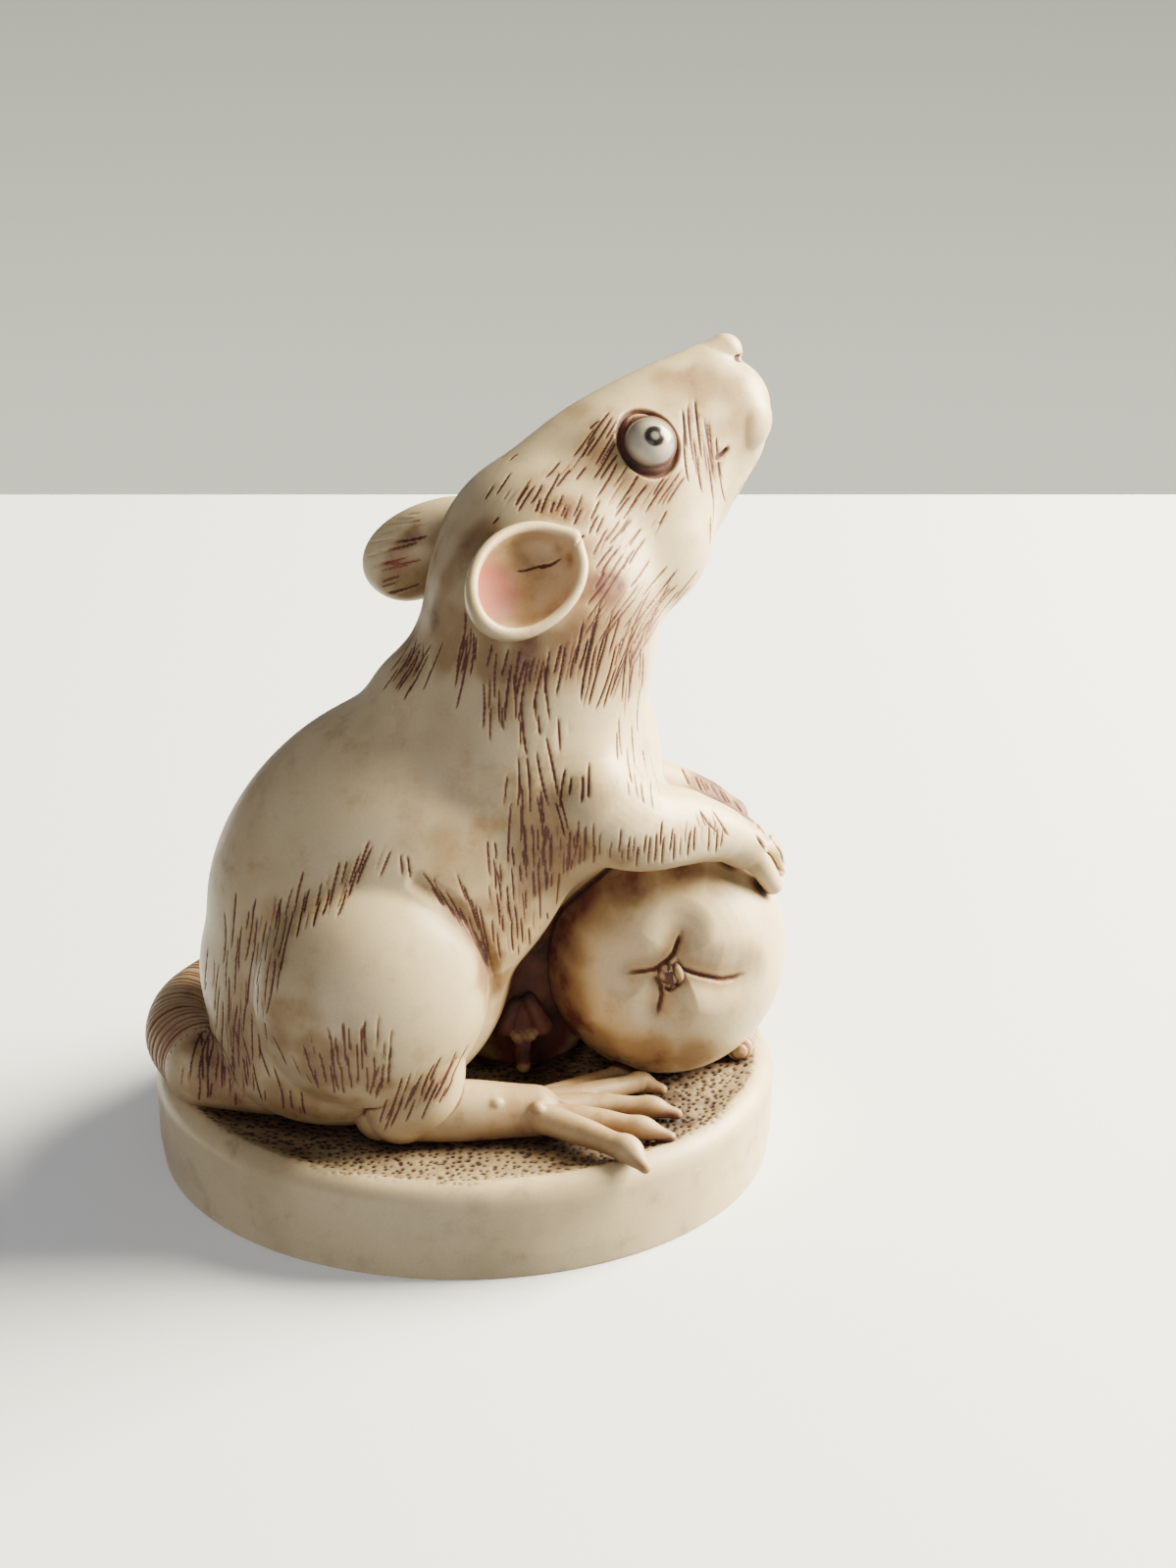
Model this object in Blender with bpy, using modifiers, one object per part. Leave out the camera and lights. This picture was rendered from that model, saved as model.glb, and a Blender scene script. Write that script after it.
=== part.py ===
"""Seated mouse figurine on an oval base, cast in one piece.

The mouse sits with its head turned up and both forepaws on a round fruit. A small creature
peeps out of the hollow under its belly, and the tail curls round the back of the base.
The whole ornament is one casting, so the script joins every form into one closed solid.

Base frame: +X along the base towards the fruit, +Z up, origin at the middle of the underside.
The mouse and the fruit are drawn in millimetres in the mouse's own frame, at DRAWN_HEIGHT:
forward, to its left, up from the ground. MOUSE_HEIGHT sets their real size.
"""
import math

import bmesh
import bpy
from mathutils import Matrix, Vector

MM = 0.001
OBJECT_NAME = "mouse_figurine"

# Base, in millimetres
BASE_LENGTH = 50.6
BASE_WIDTH = 46.6
BASE_HEIGHT = 8.2
FOOT_INSET = 0.4
RIM_ROUND = 1.8
RIM_WIDTH = 1.5
RIM_SLOPE = 1.6
GROUND_DIP = 0.3

# Mouse: height from the ground to the nose, and its place on the base
MOUSE_HEIGHT = 58.4
DRAWN_HEIGHT = 58.4
MOUSE_AT = (1.18, -3.87)
HEADING = 13.0

# Head, in the mouse's frame
HEAD_AT = (0.1, 0.3, 43.2)
HEAD_YAW = 18.0
HEAD_PITCH = 27.0
HEAD_ROLL = 12.0
EYE_DIAMETER = 4.0
EYE_AT = (15.85, 5.4, 1.75)
SOCKET_DIAMETER = 4.9
SOCKET_OUT = 0.9
EAR_LENGTH = 10.9
EAR_BREADTH = 8.1
EAR_DEPTH = 3.4
EAR_WALL = 0.95
EAR_CORNER = 0.09
EAR_AT = (0.7, 9.7, 0.8)

# Fruit under the forepaws, in the mouse's frame
FRUIT_AT = (15.55, 0.57, 9.7)
FRUIT_RADII = (11.1, 9.3, 9.2)
FRUIT_TILT = 54.0
FRUIT_FACES = -8.2
FRUIT_LOOKS_UP = 18.7
FRUIT_CREASES = ((1.0, 39.0), (80.0, 25.0), (180.0, 31.0), (254.0, 24.0))
CREASE_WIDTH = 0.55
CREASE_DEPTH = 0.95

# Tail, from the rump round the back of the base
TAIL_ROOT_RADIUS = 3.6
TAIL_TIP_RADIUS = 1.0

# Fineness of the surface
SOFT_VOXEL = 0.5
FINE_VOXEL = 0.3
CUTTER_VOXEL = 0.15
SOFT_ROUNDS = 34
FINE_ROUNDS = 2
FIGURE_FACETS = 6150
TURNED_STEPS = 56


def clear_scene():
    """Take every object out of the file."""
    for thing in list(bpy.data.objects):
        bpy.data.objects.remove(thing, do_unlink=True)


def rotation(degrees, axis):
    """Rotation about one axis."""
    return Matrix.Rotation(math.radians(degrees), 4, axis)


def turned(pitch, roll=0.0, yaw=0.0):
    """Nose up by pitch, left side down by roll, then yaw to the left."""
    return rotation(yaw, "Z") @ rotation(-pitch, "Y") @ rotation(-roll, "X")


def ground_height():
    """Height of the ground that the mouse sits on."""
    return BASE_HEIGHT - GROUND_DIP


def figure_frame():
    """Frame of the mouse, drawn in millimetres, with its origin on the ground."""
    place = Vector((MOUSE_AT[0], MOUSE_AT[1], ground_height())) * MM
    size = Matrix.Scale(MM * MOUSE_HEIGHT / DRAWN_HEIGHT, 4)
    return Matrix.Translation(place) @ rotation(HEADING, "Z") @ size


def head_frame():
    """Frame of the head: origin between the ears, +X to the nose, +Y to the left ear."""
    return figure_frame() @ Matrix.Translation(HEAD_AT) @ turned(HEAD_PITCH, HEAD_ROLL, HEAD_YAW)


def placed(mesh, matrix=None):
    """Object that carries a mesh at a place."""
    thing = bpy.data.objects.new(mesh.name, mesh)
    bpy.context.scene.collection.objects.link(thing)
    if matrix is not None:
        thing.matrix_world = matrix
    return thing


def applied(thing):
    """The object with its modifiers made real."""
    bpy.context.view_layer.update()
    evaluated = thing.evaluated_get(bpy.context.evaluated_depsgraph_get())
    mesh = bpy.data.meshes.new_from_object(evaluated)
    thing.modifiers.clear()
    thing.data = mesh
    return thing


def ball(frame, centre, radii, turn=None, segments=32):
    """Ellipsoid with its centre and radii in the given frame."""
    mesh = bpy.data.meshes.new("ball")
    bm = bmesh.new()
    bmesh.ops.create_uvsphere(bm, u_segments=segments, v_segments=segments // 2, radius=1.0)
    bm.to_mesh(mesh)
    bm.free()
    matrix = frame @ Matrix.Translation(centre)
    if turn is not None:
        matrix = matrix @ turn
    return placed(mesh, matrix @ Matrix.Diagonal((*radii, 1.0)))


def pair(frame, centre, radii, turn=None, segments=32):
    """The same ellipsoid on the left and the right of the frame's middle plane."""
    flip = Matrix.Diagonal((1.0, -1.0, 1.0, 1.0))
    other = flip @ turn @ flip if turn is not None else None
    right = (centre[0], -centre[1], centre[2])
    return [ball(frame, centre, radii, turn, segments), ball(frame, right, radii, other, segments)]


def limb(frame, stations):
    """Round limb through stations of x, y, z and radius, with a ball at each end."""
    curve = bpy.data.curves.new("limb", "CURVE")
    curve.dimensions = "3D"
    curve.bevel_depth = 1.0
    curve.bevel_resolution = 3
    curve.use_fill_caps = True
    curve.resolution_u = 6
    spline = curve.splines.new("BEZIER")
    spline.radius_interpolation = "CARDINAL"
    spline.bezier_points.add(len(stations) - 1)
    for point, (x, y, z, radius) in zip(spline.bezier_points, stations):
        point.co = (x, y, z)
        point.radius = radius
        point.handle_left_type = "AUTO"
        point.handle_right_type = "AUTO"
    guide = bpy.data.objects.new("limb", curve)
    bpy.context.scene.collection.objects.link(guide)
    bpy.context.view_layer.update()
    evaluated = guide.evaluated_get(bpy.context.evaluated_depsgraph_get())
    mesh = bpy.data.meshes.new_from_object(evaluated)
    bpy.data.objects.remove(guide)
    bm = bmesh.new()
    bm.from_mesh(mesh)
    bmesh.ops.remove_doubles(bm, verts=bm.verts, dist=0.0001)
    bm.to_mesh(mesh)
    bm.free()
    ends = [ball(frame, end[:3], (end[3],) * 3, segments=16) for end in (stations[0], stations[-1])]
    return [placed(mesh, frame)] + ends


def mirrored(stations):
    """A limb's stations on the other side of the middle plane."""
    return [(x, -y, z, radius) for x, y, z, radius in stations]


def turned_form(name, profile, steps):
    """Form turned round Z from a half outline that runs down its outer side."""
    mesh = bpy.data.meshes.new(name)
    bm = bmesh.new()
    verts = [bm.verts.new((x, 0.0, z)) for x, z in profile]
    for start, end in zip(verts, verts[1:]):
        bm.edges.new((start, end))
    bm.to_mesh(mesh)
    bm.free()
    form = placed(mesh)
    screw = form.modifiers.new("Turned", "SCREW")
    screw.steps = steps
    screw.render_steps = steps
    screw.use_merge_vertices = True
    screw.merge_threshold = 0.00001
    return applied(form)


def fused(name, things, voxel, rounds):
    """One skin over closed forms, with the creases between them softened."""
    bpy.context.view_layer.update()
    bm = bmesh.new()
    for thing in things:
        thing.data.transform(thing.matrix_world)
        bm.from_mesh(thing.data)
        bpy.data.objects.remove(thing)
    mesh = bpy.data.meshes.new(name)
    bm.to_mesh(mesh)
    bm.free()
    skin = placed(mesh)
    remesh = skin.modifiers.new("Skin", "REMESH")
    remesh.mode = "VOXEL"
    remesh.voxel_size = voxel * MM
    soften = skin.modifiers.new("Soften", "SMOOTH")
    soften.factor = 0.5
    soften.iterations = int(round(rounds))
    return applied(skin)


def trunk():
    """Rump, back, chest, thighs, shoulders and neck."""
    figure = figure_frame()
    forms = [
        ball(figure, (-9.7, 0.0, 11.4), (12.6, 11.0, 12.4)),
        ball(figure, (-11.2, 0.0, 5.6), (10.5, 10.6, 7.0)),
        ball(figure, (-6.4, 0.0, 19.8), (16.5, 10.9, 13.1), turned(41.0)),
        ball(figure, (5.4, 0.0, 27.3), (9.6, 9.0, 10.4)),
        ball(figure, (-3.0, 0.2, 32.9), (6.4, 6.4, 4.8), turned(35.0)),
        ball(figure, (4.6, 3.5, 9.0), (6.4, 4.0, 13.0)),
        ball(figure, (8.6, 1.6, 17.6), (4.2, 3.2, 4.2)),
    ]
    forms += pair(figure, (-10.0, 8.6, 12.9), (9.2, 6.6, 9.6), turned(10.0))
    forms += pair(figure, (5.8, 5.6, 26.6), (5.6, 4.4, 7.6), turned(-15.0))
    forms += limb(figure, [(2.0, 0.0, 29.6, 10.0), (4.8, 0.0, 36.3, 9.4), (5.9, 0.5, 41.2, 9.3)])
    return forms


def skull():
    """Skull, cheeks, muzzle and jaw."""
    head = head_frame()
    forms = [
        ball(head, (6.0, 0.0, -3.0), (9.6, 8.6, 8.9)),
        ball(head, (13.0, 0.0, -2.0), (9.4, 7.0, 7.8)),
    ]
    forms += pair(head, (11.5, 3.0, -5.8), (6.6, 4.4, 5.2))
    forms += limb(head, [(12.0, 0.0, -1.4, 6.9), (19.0, 0.0, -1.3, 5.4), (24.2, 0.0, -1.5, 4.2)])
    forms += limb(head, [(14.0, 0.0, -6.6, 4.2), (20.0, 0.0, -5.6, 3.1), (24.2, 0.0, -4.6, 2.4)])
    forms += limb(head, [(6.0, 0.0, 2.4, 3.5), (14.0, 0.0, 3.2, 2.9), (21.0, 0.0, 2.6, 2.4),
                         (25.4, 0.0, 2.1, 1.9)])
    return forms


def muzzle():
    """Tip of the nose and the lip pads."""
    head = head_frame()
    forms = limb(head, [(22.0, 0.0, 2.3, 1.9), (26.9, 0.0, 2.0, 1.4)])
    forms += pair(head, (24.4, 1.7, -2.4), (2.8, 2.4, 2.9))
    return forms


def eyes():
    """Eyeballs standing out of the head."""
    return pair(head_frame(), EYE_AT, (EYE_DIAMETER / 2,) * 3, segments=16)


def hollows():
    """Grooves round the eyes, the mouth line and the nostrils, as one cutter."""
    head = head_frame()
    socket = (EYE_AT[0], EYE_AT[1] + SOCKET_OUT, EYE_AT[2])
    forms = pair(head, socket, (SOCKET_DIAMETER / 2,) * 3)
    mouth = [(27.6, 0.0, -4.6, 0.35), (25.8, 2.9, -4.7, 0.4), (23.0, 4.0, -4.3, 0.4),
             (20.6, 4.6, -3.4, 0.3)]
    forms += limb(head, mouth) + limb(head, mirrored(mouth))
    forms += pair(head, (28.1, 0.8, 0.6), (0.7, 0.4, 0.5))
    return fused("hollows", forms, CUTTER_VOXEL, 0)


def ear_shape(side):
    """Place and size of an ear: its rim is the unit circle there, its bottom one unit down."""
    tip = Matrix.Diagonal((1.0, side, 1.0, 1.0))
    opens = rotation(-12.0, "Z") @ rotation(24.0, "X") @ rotation(-90.0, "X")
    place = Matrix.Translation((EAR_AT[0], side * EAR_AT[1], EAR_AT[2]))
    reach = Matrix.Diagonal((EAR_LENGTH / 2, EAR_BREADTH / 2, EAR_DEPTH, 1.0))
    return head_frame() @ place @ tip @ opens @ reach


def ear(side):
    """Cupped ear, turned as a bowl with a corner at its front: side is +1 for the left."""
    mean = (EAR_LENGTH + EAR_BREADTH) / 4
    steps = 8
    outline = []
    for scale, deep, order in ((1.0 - EAR_WALL / mean, 1.0 - EAR_WALL / EAR_DEPTH,
                                range(steps + 1)), (1.0, 1.0, range(steps, -1, -1))):
        for step in order:
            angle = math.radians(90.0 * step / steps)
            outline.append((scale * math.sin(angle), -deep * math.cos(angle)))
    cup = turned_form("ear", outline, 40)
    for vert in cup.data.vertices:
        around = math.atan2(vert.co.y, vert.co.x)
        corner = 1.0 + EAR_CORNER * math.hypot(vert.co.x, vert.co.y) * math.exp(-(around / 0.2) ** 2)
        vert.co.x *= corner
        vert.co.y *= corner
    cup.matrix_world = ear_shape(side)
    return [cup] + limb(head_frame(), [(2.4, side * 3.6, -0.8, 2.6), (1.8, side * 4.6, -0.2, 2.3)])


def clear_ears(skin):
    """Presses the head down where it would stand up through the bowl of an ear."""
    for side in (-1.0, 1.0):
        shape = ear_shape(side)
        inward = shape.inverted()
        for vert in skin.data.vertices:
            spot = inward @ vert.co
            flat = spot.x * spot.x + spot.y * spot.y
            if flat < 0.81:
                bottom = -math.sqrt(0.85 - flat)
                if bottom < spot.z < 1.3:
                    vert.co = shape @ Vector((spot.x, spot.y, bottom))
    return skin


def arms():
    """Forelegs reaching over the fruit, with the fingers laid on it."""
    figure = figure_frame()
    right = [(7.2, -6.6, 27.2, 4.6), (11.1, -6.4, 24.1, 3.8), (16.0, -4.9, 22.5, 3.0),
             (19.2, -4.0, 21.1, 2.2), (20.9, -3.6, 19.9, 1.9)]
    left = [(5.6, 4.8, 26.4, 4.4), (10.2, 4.2, 23.9, 3.4), (15.3, 3.0, 22.6, 2.5),
            (19.4, 2.3, 20.9, 2.0), (21.3, 2.2, 19.8, 1.6)]
    right_fingers = (((22.4, -3.9, 18.0), (23.6, -3.1, 15.9), 1.0),
                     ((23.8, -2.2, 18.4), (24.5, -1.6, 16.4), 0.72),
                     ((24.2, -0.9, 18.4), (24.8, -0.3, 16.8), 0.6))
    left_fingers = (((23.4, 1.2, 18.6), (24.5, 1.1, 16.7), 0.6),
                    ((23.2, 2.6, 18.1), (24.1, 2.6, 16.0), 0.75),
                    ((22.4, 3.9, 17.4), (23.1, 4.3, 15.3), 0.75))
    forms = []
    for arm, fingers in ((right, right_fingers), (left, left_fingers)):
        forms += limb(figure, arm)
        for middle, tip, radius in fingers:
            knuckle = (*(Vector(arm[-1][:3]).lerp(Vector(middle), 0.2)), 1.35 * radius)
            forms += limb(figure, [knuckle, (*middle, radius), (*tip, 0.85 * radius)])
    return forms


def legs():
    """Shins, long hind feet and toes with claws."""
    figure = figure_frame()
    shin = [(-6.6, 10.0, 8.0, 3.6), (-6.8, 10.0, 5.2, 3.5), (-8.0, 9.2, 2.9, 3.0)]
    foot = [(-9.4, 8.4, 2.0, 2.2), (-4.0, 9.6, 2.2, 2.5), (2.4, 10.4, 1.8, 2.2)]
    toes = (((5.9, 14.7), (8.4, 17.2), (9.3, 19.0), 0.95),
            ((7.5, 12.3), (10.4, 13.7), (12.4, 14.7), 0.8),
            ((8.2, 9.6), (12.0, 10.5), (13.8, 11.2), 0.76),
            ((9.1, 7.3), (12.1, 6.3), (13.6, 7.0), 0.76),
            ((8.0, 5.3), (10.9, 3.9), (12.2, 3.5), 0.6))
    forms = []
    for leg in (shin, foot):
        forms += limb(figure, leg) + limb(figure, mirrored(leg))
    for bend, knuckle, claw, radius in toes:
        toe = [(1.6, 10.4 + 0.25 * (bend[1] - 10.4), 2.2, 1.4 * radius),
               (*bend, 1.7 * radius, 1.15 * radius), (*knuckle, 1.35 * radius, 1.15 * radius),
               (*claw, 0.55, 0.46)]
        forms += limb(figure, toe) + limb(figure, mirrored(toe))
    return forms


def tail():
    """Tail that leaves the rump, turns back round the left end and ends by the fruit."""
    route = ((216.0, 7.0, 3.4), (203.0, 3.0, 2.8), (184.0, 2.2, 2.7), (163.0, 2.8, 2.5),
             (134.0, 4.2, 2.0), (100.0, 4.0, 1.5), (70.0, 3.8, 1.2), (40.0, 3.6, 1.0),
             (14.0, 2.2, 1.0), (-3.0, 2.8, 1.0))
    stations = []
    for number, (degrees, inset, height) in enumerate(route):
        turn = math.radians(degrees)
        share = number / (len(route) - 1)
        radius = TAIL_ROOT_RADIUS + (TAIL_TIP_RADIUS - TAIL_ROOT_RADIUS) * share ** 0.85
        stations.append(((BASE_LENGTH / 2 - inset) * math.cos(turn),
                         (BASE_WIDTH / 2 - inset) * math.sin(turn),
                         ground_height() + height, radius))
    return limb(Matrix.Scale(MM, 4), stations)


def creature():
    """Small creature's head in the hollow: snout, nose, eyes and drooping ears."""
    figure = figure_frame()
    forms = limb(figure, [(3.8, 0.2, 5.4, 1.5), (3.5, -1.2, 3.4, 1.0), (3.3, -2.2, 1.5, 0.8)])
    forms += limb(figure, [(2.9, -0.5, 6.6, 0.5), (2.0, -1.0, 4.5, 0.75)])
    forms += limb(figure, [(4.0, -0.5, 6.8, 0.5), (5.2, -1.3, 4.4, 0.8)])
    for across in (2.8, 4.05):
        forms.append(ball(figure, (across, -1.7, 3.9), (0.45,) * 3, segments=16))
    return forms


def fruit():
    """Lobed fruit with creases that run out from its calyx."""
    mesh = bpy.data.meshes.new("fruit")
    bm = bmesh.new()
    bmesh.ops.create_uvsphere(bm, u_segments=36, v_segments=24, radius=1.0)
    mean = sum(FRUIT_RADII) / len(FRUIT_RADII)
    for vert in bm.verts:
        polar = math.acos(max(-1.0, min(1.0, vert.co.z)))
        around = math.atan2(vert.co.y, vert.co.x)
        dent = 0.6 * math.exp(-(polar / 0.4) ** 2)
        for degrees, reach in FRUIT_CREASES:
            aside = math.remainder(around - math.radians(degrees), 2.0 * math.pi)
            if abs(aside) < math.pi / 2:
                off = mean * math.sin(polar) * abs(math.sin(aside))
                along = max(0.0, 1.0 - (polar / math.radians(reach)) ** 3)
                dent = max(dent, along * math.exp(-(off / CREASE_WIDTH) ** 2))
        vert.co *= 1.0 - CREASE_DEPTH * dent / mean
    bm.to_mesh(mesh)
    bm.free()
    tilt = rotation(FRUIT_TILT, "Z")
    shape = tilt @ Matrix.Diagonal((*FRUIT_RADII, 1.0)) @ tilt.inverted()
    faces = rotation(FRUIT_FACES, "Z") @ rotation(90.0 - FRUIT_LOOKS_UP, "X")
    matrix = figure_frame() @ Matrix.Translation(FRUIT_AT) @ faces @ shape
    fruit_form = placed(mesh, matrix)
    return made_real(fruit_form)


def made_real(thing):
    """The object with its place moved into its mesh."""
    bpy.context.view_layer.update()
    thing.data.transform(thing.matrix_world)
    thing.matrix_world = Matrix.Identity(4)
    return thing


def base():
    """Oval base: a turned disc with a rounded rim and a dipped top, drawn out to its length."""
    half = BASE_LENGTH / 2
    crest = half - RIM_WIDTH
    outline = [(0.0, ground_height()), (crest - RIM_SLOPE, ground_height()), (crest, BASE_HEIGHT)]
    steps = 4
    for step in range(1, steps + 1):
        angle = math.radians(90.0 * step / steps)
        outline.append((half - RIM_ROUND * (1.0 - math.sin(angle)),
                        BASE_HEIGHT - RIM_ROUND * (1.0 - math.cos(angle))))
    outline += [(half - 0.3 * FOOT_INSET, 0.25 * BASE_HEIGHT), (half - FOOT_INSET, 0.0), (0.0, 0.0)]
    disc = turned_form("base", [(x * MM, z * MM) for x, z in outline], TURNED_STEPS)
    disc.data.transform(Matrix.Diagonal((1.0, BASE_WIDTH / BASE_LENGTH, 1.0, 1.0)))
    return disc


def thinned(thing, facets):
    """The skin in flat facets, small where it curves and large where it is plain."""
    thin = thing.modifiers.new("Facets", "DECIMATE")
    thin.ratio = facets / sum(len(facet.vertices) - 2 for facet in thing.data.polygons)
    thin.use_collapse_triangulate = True
    return applied(thing)


def combined(thing, other, operation):
    """The solid with another one joined to it or cut out of it."""
    combine = thing.modifiers.new("Combined", "BOOLEAN")
    combine.operation = operation
    combine.solver = "EXACT"
    combine.object = other
    applied(thing)
    bpy.data.objects.remove(other)
    return thing


def without_pockets(thing):
    """The outer skin alone: the casting is solid, so a pocket sealed inside it is filled."""
    bm = bmesh.new()
    bm.from_mesh(thing.data)
    islands = []
    waiting = set(bm.verts)
    while waiting:
        island = [waiting.pop()]
        for vert in island:
            for edge in vert.link_edges:
                other = edge.other_vert(vert)
                if other in waiting:
                    waiting.remove(other)
                    island.append(other)
        islands.append(island)
    islands.sort(key=len)
    for island in islands[:-1]:
        bmesh.ops.delete(bm, geom=island, context="VERTS")
    bm.to_mesh(thing.data)
    bm.free()
    return thing


def resin():
    """Cream cast resin."""
    material = bpy.data.materials.new("cast_resin")
    material.use_nodes = True
    shader = material.node_tree.nodes["Principled BSDF"]
    shader.inputs["Base Color"].default_value = (0.70, 0.60, 0.44, 1.0)
    shader.inputs["Roughness"].default_value = 0.42
    shader.inputs["Metallic"].default_value = 0.0
    return material


def main():
    """Fuse the soft masses, add the limbs and small forms, then join eyes, fruit and base."""
    clear_scene()
    masses = clear_ears(fused("masses", trunk() + skull(), SOFT_VOXEL, SOFT_ROUNDS))
    forms = [masses] + muzzle() + ear(1) + ear(-1) + arms() + legs() + tail() + creature()
    casting = fused(OBJECT_NAME, forms, FINE_VOXEL, FINE_ROUNDS)
    combined(casting, hollows(), "DIFFERENCE")
    thinned(casting, FIGURE_FACETS)
    for other in eyes() + [fruit(), base()]:
        combined(casting, other, "UNION")
    without_pockets(casting)
    casting.name = OBJECT_NAME
    casting.data.name = OBJECT_NAME
    casting.data.materials.clear()
    casting.data.materials.append(resin())
    parts = bpy.data.collections.new(OBJECT_NAME)
    bpy.context.scene.collection.children.link(parts)
    bpy.context.scene.collection.objects.unlink(casting)
    parts.objects.link(casting)


if __name__ == "__main__":
    main()
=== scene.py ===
"""Looks of a cast resin mouse ornament: the figure, its fruit, its tail and its oval base.

Every form is drawn in millimetres. The mouse has its own frame (forward, to its left, up from the
ground) and its head has another. The fur is engraved along lines laid over the surface, the ground
is pitted, and a brown stain lies in whatever is cut in. Shade is painted into the colour as well:
in the hollow under the belly, where shadow falls on the belly, the forelegs and the fruit, and on
the lower half of each eyeball, with a painted highlight in each pupil.
"""
import math
import random

import bmesh
import bpy
import numpy as np
from bpy.props import FloatProperty, FloatVectorProperty, IntProperty, PointerProperty
from mathutils import Matrix, Vector
from mathutils.bvhtree import BVHTree


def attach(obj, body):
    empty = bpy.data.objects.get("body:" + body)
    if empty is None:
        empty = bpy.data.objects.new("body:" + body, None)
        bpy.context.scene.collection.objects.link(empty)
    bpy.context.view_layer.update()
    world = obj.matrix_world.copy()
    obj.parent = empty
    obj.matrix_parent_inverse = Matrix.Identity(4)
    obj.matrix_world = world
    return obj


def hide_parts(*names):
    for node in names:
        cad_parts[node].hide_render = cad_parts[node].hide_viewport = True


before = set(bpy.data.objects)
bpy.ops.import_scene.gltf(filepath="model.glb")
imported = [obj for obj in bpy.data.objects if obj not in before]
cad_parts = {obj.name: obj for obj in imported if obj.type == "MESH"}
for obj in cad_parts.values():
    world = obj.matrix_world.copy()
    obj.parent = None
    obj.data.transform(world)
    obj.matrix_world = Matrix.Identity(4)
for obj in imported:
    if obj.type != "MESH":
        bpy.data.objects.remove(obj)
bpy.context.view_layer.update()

bl_info = {
    "name": "Resin mouse ornament",
    "version": (1, 0, 0),
    "blender": (4, 5, 0),
    "location": "View3D > Sidebar > Ornament",
    "description": "Builds the carved surfaces and finishes of a cast resin mouse on an oval base",
    "category": "Object",
}

MM = 0.001
CASTING = "mouse_figurine"

# The photograph: its size in pixels and the camera that took it
PHOTO_WIDTH = 1199
PHOTO_HEIGHT = 1599
AIM = (10.1, 0.0, 31.9)
CAMERA_DISTANCE = 300.0
LOOKING_DOWN = 24.0
PIXELS_PER_MM = 12.81
SENSOR = 36.0

# The mouse: the height it is drawn at, its place and turn on the ground, and places in its frame
DRAWN_HEIGHT = 58.4
MOUSE_AT = (1.18, -3.87)
HEADING = 13.0
HEAD_AT = (0.1, 0.3, 43.2)
HEAD_YAW = 18.0
HEAD_PITCH = 27.0
HEAD_ROLL = 12.0
EYE_AT = (15.85, 5.4, 1.75)
LID_OVER = 0.16
LID_SINKS = 0.45
EAR_AT = (0.7, 9.7, 0.8)
EAR_DEPTH = 3.4
EAR_WALL = 0.95
FRUIT_AT = (15.55, 0.57, 9.7)
FRUIT_RADII = (11.1, 9.3, 9.2)
FRUIT_TILT = 54.0
FRUIT_FACES = -8.2
FRUIT_LOOKS_UP = 18.7
# The hollow under the belly, where shade is painted in with a thick wash
HOLLOW_AT = (4.5, -1.5, 6.0)
HOLLOW_REACH = (6.5, 7.0, 12.0)
GROUND_DIP = 0.3

# Cuts and folds of a set size, in millimetres
FOLD_WIDTH = 2.2
FOLD_DEPTH = 0.35
LOBE_WIDTH = 6.4
LOBE_DEPTH = 0.9
LOBE_FADE = 1.2
FRUIT_CREASE_WIDTH = 0.62
FRUIT_CREASE_DEPTH = 0.35
FRUIT_CREASE_FADE = 0.3
RING_DEPTH = 0.17
STROKE_FADE = 0.24

# Fineness of the meshes, in millimetres, rounds of smoothing and triangles to keep
SOFT_VOXEL = 0.42
THIGH_VOXEL = 0.32
FINE_VOXEL = 0.115
FRUIT_VOXEL = 0.16
CALYX_VOXEL = 0.08
CREATURE_VOXEL = 0.12
TAIL_STEP = 0.10
SOFT_ROUNDS = 46
THIGH_ROUNDS = 7
FINE_ROUNDS = 6
MOUSE_TRIANGLES = 540000
GROUND_TRIANGLES = 150000
FRUIT_TRIANGLES = 110000
SEED = 7

# Heights in the mouse's frame where its skin is parted, and how far in the parts are closed
CUTS = (14.0, 33.0)
CAP_INSET = 0.8

# The stage, in millimetres and watts: the floor, the backdrop and the lamps
FLOOR_NEAR = -2000.0
FLOOR_FAR = 158.0
FLOOR_HALF_WIDTH = 2000.0
DOME_RADIUS = 4000.0
HORIZON_LOW = -1200.0
HORIZON_HIGH = -650.0
LAMPS_AIM = (0.0, 0.0, 30.0)
LAMPS = (("window", (505.0, 165.0, 290.0), 440.0, 44.0, (1.0, 0.895, 0.63)),
         ("fill", (-40.0, -560.0, 130.0), 500.0, 1.2, (1.0, 0.96, 0.90)))


def linear(hex_colour):
    """Scene colour of an sRGB hex value."""
    shades = [int(hex_colour[at:at + 2], 16) / 255 for at in (1, 3, 5)]
    return [s / 12.92 if s <= 0.04045 else ((s + 0.055) / 1.055) ** 2.4 for s in shades]


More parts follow.
